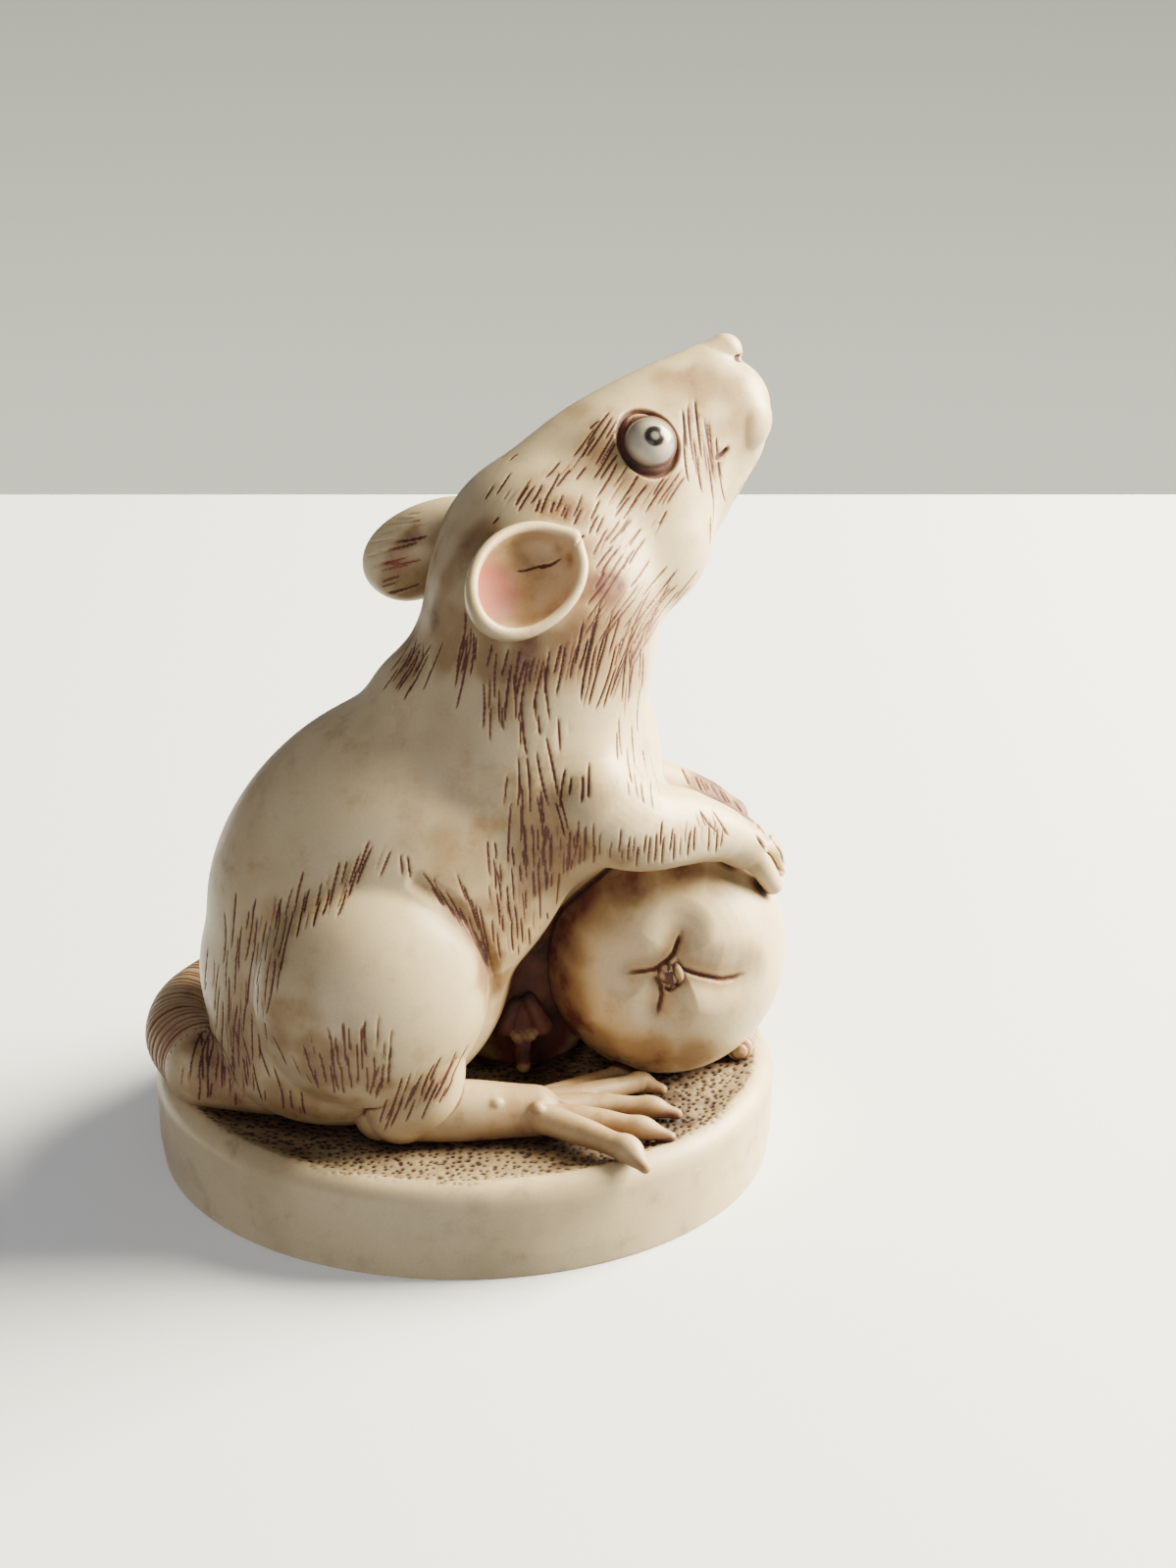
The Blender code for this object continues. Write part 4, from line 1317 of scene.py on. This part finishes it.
def engraved(piece, lines, width, depth, name, material):
    """The piece with grooves cut along lines, and their stain kept by name."""
    guide = lines_object("lines", lines)
    run_tree(piece, engraving_tree(), {"Lines": guide, "Width": width, "Depth": depth,
                                       "Attribute": name, "Material": material})
    bpy.data.objects.remove(guide)
    return piece


def finished(piece, name):
    """The piece under its own name, shaded smooth."""
    piece.name = name
    piece.data.name = name
    for facet in piece.data.polygons:
        facet.use_smooth = True
    return piece


MOUSE = ("mouse_haunches", "mouse_shoulders", "mouse_head")
PIECES = (*MOUSE, "eyes", "tail", "fruit", "calyx", "creature", "base")


def parted(thing, levels):
    """The skin parted at levels into closed pieces, which keep its shading across the cuts."""
    facing = np.empty(len(thing.data.vertices) * 3, np.float32)
    thing.data.vertices.foreach_get("normal", facing)
    thing.data.attributes.new("facing", "FLOAT_VECTOR", "POINT").data.foreach_set("vector", facing)
    pieces = []
    for low, high in zip((-math.inf, *levels), (*levels, math.inf)):
        piece = placed(thing.data.copy())
        bm = bmesh.new()
        bm.from_mesh(piece.data)
        spare = [face for face in bm.faces if not low < face.calc_center_median().z <= high]
        bmesh.ops.delete(bm, geom=spare, context="FACES")
        rim = [edge for edge in bm.edges if edge.is_boundary]
        band = bmesh.ops.extrude_edge_only(bm, edges=rim)["geom"]
        inner = {vert for vert in band if isinstance(vert, bmesh.types.BMVert)}
        for vert in inner:
            skin = next(edge.other_vert(vert) for edge in vert.link_edges
                        if edge.other_vert(vert) not in inner)
            vert.co = skin.co - skin.normal * CAP_INSET * MM
        rim = [edge for edge in bm.edges if edge.is_boundary]
        bmesh.ops.holes_fill(bm, edges=rim, sides=0)
        bmesh.ops.recalc_face_normals(bm, faces=bm.faces)
        bm.to_mesh(piece.data)
        bm.free()
        pieces.append(piece)
    bpy.data.objects.remove(thing)
    return pieces


def keep_facing(piece):
    """Shades a parted piece by the facing of the whole skin."""
    if "facing" in piece.data.attributes:
        facing = np.empty(len(piece.data.vertices) * 3, np.float32)
        piece.data.attributes["facing"].data.foreach_get("vector", facing)
        piece.data.normals_split_custom_set_from_vertices(facing.reshape(-1, 3))


def hand_over(piece):
    """Tells the frame what the piece rides on, and hides the casting that it replaces."""
    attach(piece, "root")
    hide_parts(CASTING)


class ORNAMENT_OT_mouse(bpy.types.Operator):
    """Model the mouse and engrave its fur"""
    bl_idname = "ornament.mouse"
    bl_label = "Carve the mouse"

    def execute(self, context):
        own = sizes()
        soft = clear_ears(fused("masses", trunk() + skull(), SOFT_VOXEL, SOFT_ROUNDS, refine=True))
        body = fused("body", [soft] + thighs(), THIGH_VOXEL, THIGH_ROUNDS, refine=True)
        root = limb(Matrix.Scale(MM, 4), tail_stations()[:2])
        forms = [body] + muzzle() + lids() + ear(1) + ear(-1) + arms() + legs() + root
        mouse = fused("mouse", forms, FINE_VOXEL, FINE_ROUNDS)
        surface = Surface(mouse)
        folds = both_sides(surface, seen_line(surface, HAUNCH_EDGE), mirror_in(figure_frame()))
        engraved(mouse, folds, FOLD_WIDTH * MM, FOLD_DEPTH * MM, "fold", resin())
        surface = Surface(mouse)
        # Spots of wash, and of painted shade where shadow falls on the belly and the forelegs.
        smudge(mouse, surface, WASH_AND_SHADE_SPOTS, mirror_in(head_frame()))
        engraved(mouse, socket_lines(surface), own.socket_width, own.crease_depth, "socket",
                 resin())
        engraved(mouse, crease_lines(surface), own.crease_width, own.crease_depth, "crease",
                 resin())
        engraved(mouse, finger_lines(surface), 0.6 * own.crease_width, 0.6 * own.crease_depth,
                 "finger", resin())
        lines = fur_lines(surface) + single_lines(surface) + root_rings(surface)
        engraved(mouse, lines, own.stroke_width, own.stroke_depth, "cut", resin())
        run_tree(mouse, cavity_tree(), {"Rounds": 60, "Wash rounds": 160, "Material": resin()})
        thinned(mouse, MOUSE_TRIANGLES)
        levels = [(figure_frame() @ Vector((0.0, 0.0, cut))).z for cut in CUTS]
        for piece, name in zip(parted(mouse, levels), MOUSE):
            finished(piece, name)
        return {"FINISHED"}


class ORNAMENT_OT_eyes(bpy.types.Operator):
    """Set the eyeballs and paint their pupils, each with a painted highlight in its middle"""
    bl_idname = "ornament.eyes"
    bl_label = "Set the eyes"

    def execute(self, context):
        radius = sizes().eye_diameter / MM / 2
        head = head_frame()
        balls = pair(head, EYE_AT, (radius,) * 3, segments=96)
        look = gaze(*PUPIL)
        bm = bmesh.new()
        pupils = []
        for side, eyeball in zip((1.0, -1.0), balls):
            eyeball.data.transform(eyeball.matrix_world)
            centre = Vector((EYE_AT[0], side * EYE_AT[1], EYE_AT[2]))
            local = local_points(eyeball, head) - np.array(centre)
            local[:, 1] *= -side
            away = np.linalg.norm(local / radius - np.array(look), axis=1) * radius
            # The pupil paint thins in its middle: a painted highlight.
            ring = eased(away, 0.92, 0.76) * (1.0 - 0.4 * eased(away, 0.40, 0.20))
            pupils.append(ring)
            bm.from_mesh(eyeball.data)
            bpy.data.objects.remove(eyeball)
        mesh = bpy.data.meshes.new("eyes")
        bm.to_mesh(mesh)
        bm.free()
        eyes = placed(mesh)
        write_attribute(eyes, "pupil", np.concatenate(pupils))
        eyes.data.materials.append(material_named("oil paint", eye_material))
        finished(eyes, "eyes")
        return {"FINISHED"}


class ORNAMENT_OT_tail(bpy.types.Operator):
    """Sweep the ringed tail round the back of the base"""
    bl_idname = "ornament.tail"
    bl_label = "Sweep the tail"

    def execute(self, context):
        stations = tail_stations()[1:]
        tip = Vector(stations[-1][:3])
        onward = (tip - Vector(stations[-2][:3])).normalized()
        thick = stations[-1][3]
        for degrees in (30.0, 60.0, 85.0):
            turn = math.radians(degrees)
            stations.append((*(tip + onward * thick * math.sin(turn)), thick * math.cos(turn)))
        guide = guide_curve([tuple(value * MM for value in station) for station in stations])
        tail = placed(bpy.data.meshes.new("tail"))
        run_tree(tail, tail_tree(), {"Guide": guide, "Pitch": sizes().ring_pitch,
                                     "Groove": RING_DEPTH * MM, "Plain start": 0.5 * MM,
                                     "Material": resin()})
        bpy.data.objects.remove(guide)
        bm = bmesh.new()
        bm.from_mesh(tail.data)
        bmesh.ops.remove_doubles(bm, verts=bm.verts, dist=0.000005)
        bmesh.ops.recalc_face_normals(bm, faces=bm.faces)
        bm.to_mesh(tail.data)
        bm.free()
        finished(tail, "tail")
        return {"FINISHED"}


class ORNAMENT_OT_fruit(bpy.types.Operator):
    """Model the fruit, its creases and its calyx"""
    bl_idname = "ornament.fruit"
    bl_label = "Carve the fruit"

    def execute(self, context):
        tilt = rotation(FRUIT_TILT, "Z")
        shape = tilt @ Matrix.Diagonal((*FRUIT_RADII, 1.0)) @ tilt.inverted()
        faces = rotation(FRUIT_FACES, "Z") @ rotation(90.0 - FRUIT_LOOKS_UP, "X")
        place = figure_frame() @ Matrix.Translation(FRUIT_AT) @ faces
        globe = ball(place @ shape, (0.0, 0.0, 0.0), (1.0, 1.0, 1.0), segments=64)
        fruit = fused("fruit", [globe], FRUIT_VOXEL, FINE_ROUNDS)
        surface = Surface(fruit)
        # Painted shade, with some wash, on the fruit's upper left and bottom.
        smudge(fruit, surface, FRUIT_WASH_AND_SHADE_SPOTS, Matrix.Identity(4), ragged=0.04)
        paths = [laid_line(seen_line(surface, pixels), LOBE_FADE * MM) for pixels in FRUIT_LINES]
        engraved(fruit, paths, LOBE_WIDTH * MM, LOBE_DEPTH * MM, "lobe", resin())
        surface = Surface(fruit)
        paths = [laid_line(seen_line(surface, pixels), FRUIT_CREASE_FADE * MM)
                 for pixels in FRUIT_LINES]
        engraved(fruit, paths, FRUIT_CREASE_WIDTH * MM, FRUIT_CREASE_DEPTH * MM, "cut", resin())
        run_tree(fruit, cavity_tree(), {"Rounds": 40, "Wash rounds": 80,
                                        "Material": material_named(FRUIT_RESIN, fruit_material)})
        thinned(fruit, FRUIT_TRIANGLES)
        finished(fruit, "fruit")
        surface = Surface(fruit)
        sepals = []
        for first, last, radius in SEPALS:
            ends = [surface.seen(*first), surface.seen(*last)]
            start, end = [spot / MM - facing * 0.25 for spot, facing in ends]
            middle = (start + end) / 2 + ends[0][1] * 0.45
            sepals += limb(Matrix.Scale(MM, 4), [(*start, radius * 0.8), (*middle, radius),
                                                 (*end, radius * 0.7)])
        calyx = fused("calyx", sepals, CALYX_VOXEL, 2)
        calyx.data.materials.append(resin())
        finished(calyx, "calyx")
        return {"FINISHED"}


CREATURE_PALE = ((2.85, -1.75, 3.9), (4.05, -1.75, 3.9), (3.3, -2.4, 1.4))


class ORNAMENT_OT_creature(bpy.types.Operator):
    """Model the small creature in the hollow"""
    bl_idname = "ornament.creature"
    bl_label = "Model the creature"

    def execute(self, context):
        figure = figure_frame()
        forms = limb(figure, [(3.7, 0.2, 5.4, 1.2), (3.45, -1.2, 3.4, 0.8), (3.3, -2.2, 1.5, 0.6)])
        forms += limb(figure, [(2.9, -0.5, 6.4, 0.6), (2.0, -1.0, 4.5, 0.8)])
        forms += limb(figure, [(4.1, -0.5, 6.6, 0.6), (5.1, -1.3, 4.4, 0.85)])
        for spot in CREATURE_PALE:
            forms.append(ball(figure, spot, (0.48,) * 3, segments=24))
        creature = fused("creature", forms, CREATURE_VOXEL, 2)
        creature.data.materials.append(resin())
        finished(creature, "creature")
        return {"FINISHED"}


class ORNAMENT_OT_base(bpy.types.Operator):
    """Turn the oval base and pit its ground"""
    bl_idname = "ornament.base"
    bl_label = "Turn the base"

    def execute(self, context):
        own = sizes()
        half = own.base_length / MM / 2
        top = own.base_height / MM
        ground = ground_height()
        rim = 1.8
        crest = half - 1.5
        outline = [(0.0, ground), (crest - 1.6, ground), (crest - 0.6, 0.5 * (ground + top)),
                   (crest, top)]
        steps = 8
        for step in range(1, steps + 1):
            angle = math.radians(90.0 * step / steps)
            outline.append((half - rim * (1.0 - math.sin(angle)),
                            top - rim * (1.0 - math.cos(angle))))
        outline += [(half - 0.12, 0.25 * top), (half - 0.4, 0.0), (0.0, 0.0)]
        disc = turned_form("base", [(x * MM, z * MM) for x, z in outline], 192)
        disc.data.transform(Matrix.Diagonal((1.0, own.base_width / own.base_length, 1.0, 1.0)))
        base = fused("base", [disc], FINE_VOXEL, 4)
        places = points_of(base) / MM
        share = np.hypot(places[:, 0] / half, places[:, 1] / (own.base_width / MM / 2))
        flat = (places[:, 2] > top - 1.2).astype(float)
        around = np.arctan2(places[:, 1], places[:, 0])
        wander = 0.012 * np.sin(5.0 * around + 1.0) + 0.008 * np.sin(13.0 * around)
        write_attribute(base, "ground", flat * eased(share + wander, 0.965, 0.90))
        run_tree(base, pits_tree(), {"Depth": own.pit_depth,
                                     "Material": material_named(GROUND_RESIN, ground_material)})
        thinned(base, GROUND_TRIANGLES)
        finished(base, "base")
        return {"FINISHED"}


def joined_copy(pieces):
    """One mesh of several pieces, to measure distances to."""
    bm = bmesh.new()
    for piece in pieces:
        bm.from_mesh(piece.data)
    mesh = bpy.data.meshes.new("neighbours")
    bm.to_mesh(mesh)
    bm.free()
    return placed(mesh)


class ORNAMENT_OT_stain(bpy.types.Operator):
    """Rub the stain into cuts, creases, seams and the hollow, and paint shade where shadow falls"""
    bl_idname = "ornament.stain"
    bl_label = "Rub in the stain"

    def execute(self, context):
        pieces = {name: bpy.data.objects[name] for name in PIECES}
        tree = seam_tree()
        solid = [name for name in PIECES if name not in ("eyes", "creature", "calyx")]
        for name, piece in pieces.items():
            same = MOUSE if name in MOUSE else (name,)
            others = joined_copy([pieces[other] for other in solid if other not in same])
            material = piece.data.materials[0]
            run_tree(piece, tree, {"Neighbours": others, "Material": material})
            bpy.data.objects.remove(others)
            finished(piece, name)
            keep_facing(piece)
        for name, piece in pieces.items():
            stain_piece(name, piece)
            hand_over(piece)
        return {"FINISHED"}


class Marks:
    """What the stain of a piece goes by: its cuts, the hollow, where shade is painted too, and what
    it stands against.
    """

    def __init__(self, name, piece):
        self.piece = piece
        self.cut = attribute(piece, "cut")
        self.seam = attribute(piece, "seam") / MM
        self.local = local_points(piece, figure_frame())
        # Painted shade, with a thick wash, in the hollow under the belly.
        away = (self.local - np.array(HOLLOW_AT)) / np.array(HOLLOW_REACH)
        self.hollow = eased(np.linalg.norm(away, axis=1), 1.0, 0.45)
        root = np.array(tail_stations()[1][:3])
        from_root = np.linalg.norm(points_of(piece) / MM - root, axis=1)
        joined = eased(from_root, 6.5, 4.5) if name in ("tail", "mouse_haunches") else 0.0
        self.against = 0.9 * eased(self.seam, 0.8, 0.1) * (1.0 - joined)

    def near(self, name, low, high):
        """How strongly the piece is marked by name, from 0 at low to 1 at high."""
        return eased(attribute(self.piece, name), low, high)


def strongest(first, *others):
    """The thickest of several stains at every point."""
    for other in others:
        first = np.maximum(first, other)
    return first


def base_stain(marks):
    """Wash on the ground, thicker by the figure, and painted shade with wash in the hollow."""
    ground = attribute(marks.piece, "ground")
    wash = 0.20 + 0.20 * eased(marks.seam, 7.0, 2.5) + 0.30 * eased(marks.seam, 1.8, 0.1)
    # In the hollow under the belly the ground takes painted shade as well as wash.
    return strongest(ground * wash, 0.7 * marks.hollow * ground)


def eyes_stain(marks):
    """Stain where each eyeball meets its lid, and painted shade with some tan wash on its lower
    half, darker towards the bottom.
    """
    below = EYE_AT[2] - local_points(marks.piece, head_frame())[:, 2]
    # The lower half of each eyeball is darkened as painted shade.
    return strongest(0.75 * eased(marks.seam, 0.35, 0.03), 0.34 * eased(below, 0.2, 1.7))


def tail_stain(marks):
    """Stain between the rings and a thin wash over all."""
    return strongest(0.50 * eased(marks.cut, 0.2, 1.0) + 0.20, 0.4 * marks.against)


def creature_stain(marks):
    """Thick stain, wiped off the eyes and the snout."""
    stain = 0.74 + 0.2 * eased(marks.local[:, 2], 5.0, 7.0)
    for spot in CREATURE_PALE:
        bare = eased(np.linalg.norm(marks.local - np.array(spot), axis=1), 0.75, 0.5)
        stain = stain * (1.0 - 0.4 * bare)
    return stain


def calyx_stain(marks):
    """Stain round the foot of each sepal."""
    return 0.22 + 0.5 * eased(marks.seam, 0.28, 0.05)


def fruit_stain(marks):
    """Stain in the creases and lobes and where the mouse leans on the fruit, and painted shade with
    some wash in the hollow and on its upper left and bottom.
    """
    # The hollow and the smudge spots are painted shade on the fruit.
    return strongest(0.78 * eased(marks.cut, 0.1, 0.95), 0.22 * marks.near("lobe", 0.5, 1.0),
                     marks.against, 0.6 * marks.hollow, attribute(marks.piece, "smudge"))


def mouse_stain(marks):
    """Stain in strokes, creases, sockets and folds, in every hollow and where fur is dense, and
    painted shade in the hollow under the belly and where shadow falls on the belly and the
    forelegs.
    """
    cavity = attribute(marks.piece, "cavity") / MM
    # The smudge spots and the hollow under the belly add painted shade to the stain.
    return strongest(0.80 * eased(marks.cut, 0.08, 0.70), attribute(marks.piece, "smudge"),
                     0.92 * marks.near("crease", 0.1, 0.7), 0.60 * marks.near("finger", 0.2, 0.9),
                     0.64 * marks.near("socket", 0.02, 0.6), 0.84 * eased(cavity, 0.04, 0.26),
                     0.24 * attribute(marks.piece, "fold"), 0.32 * marks.near("wash", 0.04, 0.32),
                     marks.against, 0.85 * marks.hollow)


def ear_stain(piece, side, stain, rose):
    """Stain and rose tint of one ear: a clean rim, a washed bowl and a rosy patch at its back."""
    inside = local_points(piece, ear_shape(side))
    across = np.hypot(inside[:, 0], inside[:, 1])
    rim = eased(np.abs(across - 0.92), 0.16, 0.09) * eased(np.abs(inside[:, 2]), 0.5, 0.3)
    bowl = eased(across, 0.86, 0.74) * (np.abs(inside[:, 2] + 0.5) < 0.5)
    bowl *= eased(np.linalg.norm(inside, axis=1), 0.96, 0.88)
    patch = np.hypot(inside[:, 0] + 0.46, inside[:, 1] + 0.26)
    rosy = bowl * eased(patch, 0.80, 0.25)
    stain = strongest(stain * (1.0 - 0.85 * rim),
                      bowl * (0.13 + 0.06 * eased(across, 0.7, 0.2)), 0.60 * rosy)
    return stain, np.maximum(rose, 0.95 * rosy)


def lid_stain(piece, side, stain):
    """Stain on one pair of lids."""
    centre = np.array((EYE_AT[0], side * EYE_AT[1], EYE_AT[2]))
    off = np.linalg.norm(local_points(piece, head_frame()) - centre, axis=1)
    return np.maximum(stain, 0.72 * eased(off, 2.75, 2.25))


STAINS = {"base": base_stain, "eyes": eyes_stain, "tail": tail_stain, "creature": creature_stain,
          "calyx": calyx_stain, "fruit": fruit_stain}


def stain_piece(name, piece):
    """Keeps the stain, with the painted shade held in it, and the rose tint of every point of a
    piece.
    """
    marks = Marks(name, piece)
    stain = STAINS.get(name, mouse_stain)(marks)
    rose = np.full(len(stain), 0.16 if name == "tail" else 0.0)
    if name == "mouse_haunches":
        foot = eased(marks.local[:, 2], 5.0, 2.5)
        stain = np.maximum(stain, 0.17 * foot + 0.20 * eased(marks.local[:, 2], 2.0, 0.5))
        rose += 0.06 * foot
    elif name == "mouse_head":
        for side in (-1.0, 1.0):
            stain, rose = ear_stain(piece, side, stain, rose)
            stain = lid_stain(piece, side, stain)
    # The stain attribute holds painted shade as well as stain.
    write_attribute(piece, "stain", stain)
    write_attribute(piece, "rose", rose)


def lay_floor(colour):
    """Plain pale floor, which adds no coloured light to the ornament."""
    mesh = bpy.data.meshes.new("floor")
    bm = bmesh.new()
    bmesh.ops.create_grid(bm, x_segments=1, y_segments=1, size=1.0)
    bm.to_mesh(mesh)
    bm.free()
    middle = (FLOOR_NEAR + FLOOR_FAR) / 2
    half = (FLOOR_FAR - FLOOR_NEAR) / 2
    mesh.transform(Matrix.Translation((0.0, middle * MM, 0.0))
                   @ Matrix.Diagonal((FLOOR_HALF_WIDTH * MM, half * MM, 1.0, 1.0)))
    floor = placed(mesh)
    floor.name = "floor"
    floor.visible_diffuse = False
    paper = bpy.data.materials.new("matt paper")
    paper.use_nodes = True
    shader = paper.node_tree.nodes["Principled BSDF"]
    shader.inputs["Base Color"].default_value = (*colour, 1.0)
    shader.inputs["Roughness"].default_value = 0.85
    shader.inputs["Emission Color"].default_value = (1.0, 0.97, 0.92, 1.0)
    shader.inputs["Emission Strength"].default_value = 0.14
    floor.data.materials.append(paper)


def hang_backdrop(low, high):
    """Dome of card behind the floor, one colour low down and another above, seen only directly."""
    dome = ball(Matrix.Scale(MM, 4), (0.0, 0.0, 0.0), (DOME_RADIUS,) * 3, segments=64)
    dome.data.transform(dome.matrix_world)
    dome.matrix_world = Matrix.Identity(4)
    dome.name = "backdrop"
    card = bpy.data.materials.new("backdrop card")
    card.use_nodes = True
    tree = card.node_tree
    glow = tree.nodes["Principled BSDF"]
    glow.inputs["Base Color"].default_value = (0.0, 0.0, 0.0, 1.0)
    glow.inputs["Specular IOR Level"].default_value = 0.0
    glow.inputs["Emission Strength"].default_value = 1.15
    place = add_node(tree, "ShaderNodeTexCoord").outputs["Object"]
    height = add_node(tree, "ShaderNodeSeparateXYZ", links={0: place})
    upward = add_node(tree, "ShaderNodeMapRange",
                      values={"From Min": HORIZON_LOW * MM, "From Max": HORIZON_HIGH * MM},
                      links={"Value": height.outputs["Z"]})
    shade = add_node(tree, "ShaderNodeMix", data_type="RGBA",
                     values={6: (*low, 1.0), 7: (*high, 1.0)}, links={0: upward.outputs[0]})
    tree.links.new(shade.outputs[2], glow.inputs["Emission Color"])
    dome.data.materials.append(card)
    for ray in ("visible_diffuse", "visible_glossy", "visible_transmission", "visible_shadow"):
        setattr(dome, ray, False)


def light_stage(scene):
    """Faint light from all round, a low warm window at the right and a weak fill at the front."""
    world = bpy.data.worlds.new("studio")
    world.use_nodes = True
    sky = world.node_tree.nodes["Background"]
    sky.inputs["Color"].default_value = (1.0, 0.96, 0.93, 1.0)
    sky.inputs["Strength"].default_value = 0.25
    scene.world = world
    for title, place, width, power, tint in LAMPS:
        lamp = bpy.data.lights.new(title, "AREA")
        lamp.color = tint
        lamp.shape = "SQUARE"
        lamp.size = width * MM
        lamp.energy = power
        lit = bpy.data.objects.new(title, lamp)
        lit.location = Vector(place) * MM
        aim = Vector(LAMPS_AIM) * MM - lit.location
        lit.rotation_euler = aim.to_track_quat("-Z", "Y").to_euler()
        scene.collection.objects.link(lit)


def set_camera(scene):
    """Camera that sees the ornament as the photograph does."""
    camera = bpy.data.cameras.new("camera")
    camera.sensor_width = SENSOR
    camera.lens = PIXELS_PER_MM * CAMERA_DISTANCE * SENSOR / PHOTO_HEIGHT
    camera.clip_start = 10.0 * MM
    camera.clip_end = 10.0
    eye = bpy.data.objects.new("camera", camera)
    eye.location = camera_place()
    eye.rotation_euler = view_axes()[2].to_track_quat("-Z", "Y").to_euler()
    scene.collection.objects.link(eye)
    scene.camera = eye


class ORNAMENT_OT_stage(bpy.types.Operator):
    """Set the floor, the backdrop, the light and the camera"""
    bl_idname = "ornament.stage"
    bl_label = "Set the stage"

    def execute(self, context):
        colours = context.scene.ornament_colours
        lay_floor(colours.floor)
        hang_backdrop(colours.horizon, colours.backdrop)
        light_stage(context.scene)
        set_camera(context.scene)
        return {"FINISHED"}


OPERATORS = (ORNAMENT_OT_mouse, ORNAMENT_OT_eyes, ORNAMENT_OT_tail, ORNAMENT_OT_fruit,
             ORNAMENT_OT_creature, ORNAMENT_OT_base, ORNAMENT_OT_stain, ORNAMENT_OT_stage)


class ORNAMENT_PT_panel(bpy.types.Panel):
    """Steps and sizes of the ornament"""
    bl_label = "Ornament"
    bl_idname = "ORNAMENT_PT_panel"
    bl_space_type = "VIEW_3D"
    bl_region_type = "UI"
    bl_category = "Ornament"

    def draw(self, context):
        for operator in OPERATORS:
            self.layout.operator(operator.bl_idname)
        for group in (context.scene.ornament_sizes, context.scene.ornament_colours):
            for name in group.bl_rna.properties.keys():
                if name not in ("rna_type", "name"):
                    self.layout.prop(group, name)


CLASSES = (OrnamentSizes, OrnamentColours, *OPERATORS, ORNAMENT_PT_panel)


def register():
    """Registers the classes and hangs the settings on the scene."""
    for each in CLASSES:
        bpy.utils.register_class(each)
    bpy.types.Scene.ornament_sizes = PointerProperty(type=OrnamentSizes)
    bpy.types.Scene.ornament_colours = PointerProperty(type=OrnamentColours)


def unregister():
    """Takes the settings and the classes away again."""
    del bpy.types.Scene.ornament_colours
    del bpy.types.Scene.ornament_sizes
    for each in reversed(CLASSES):
        bpy.utils.unregister_class(each)


def main():
    """Makes every piece in order."""
    register()
    for operator in OPERATORS:
        group, action = operator.bl_idname.split(".")
        getattr(getattr(bpy.ops, group), action)()


if __name__ == "__main__":
    main()
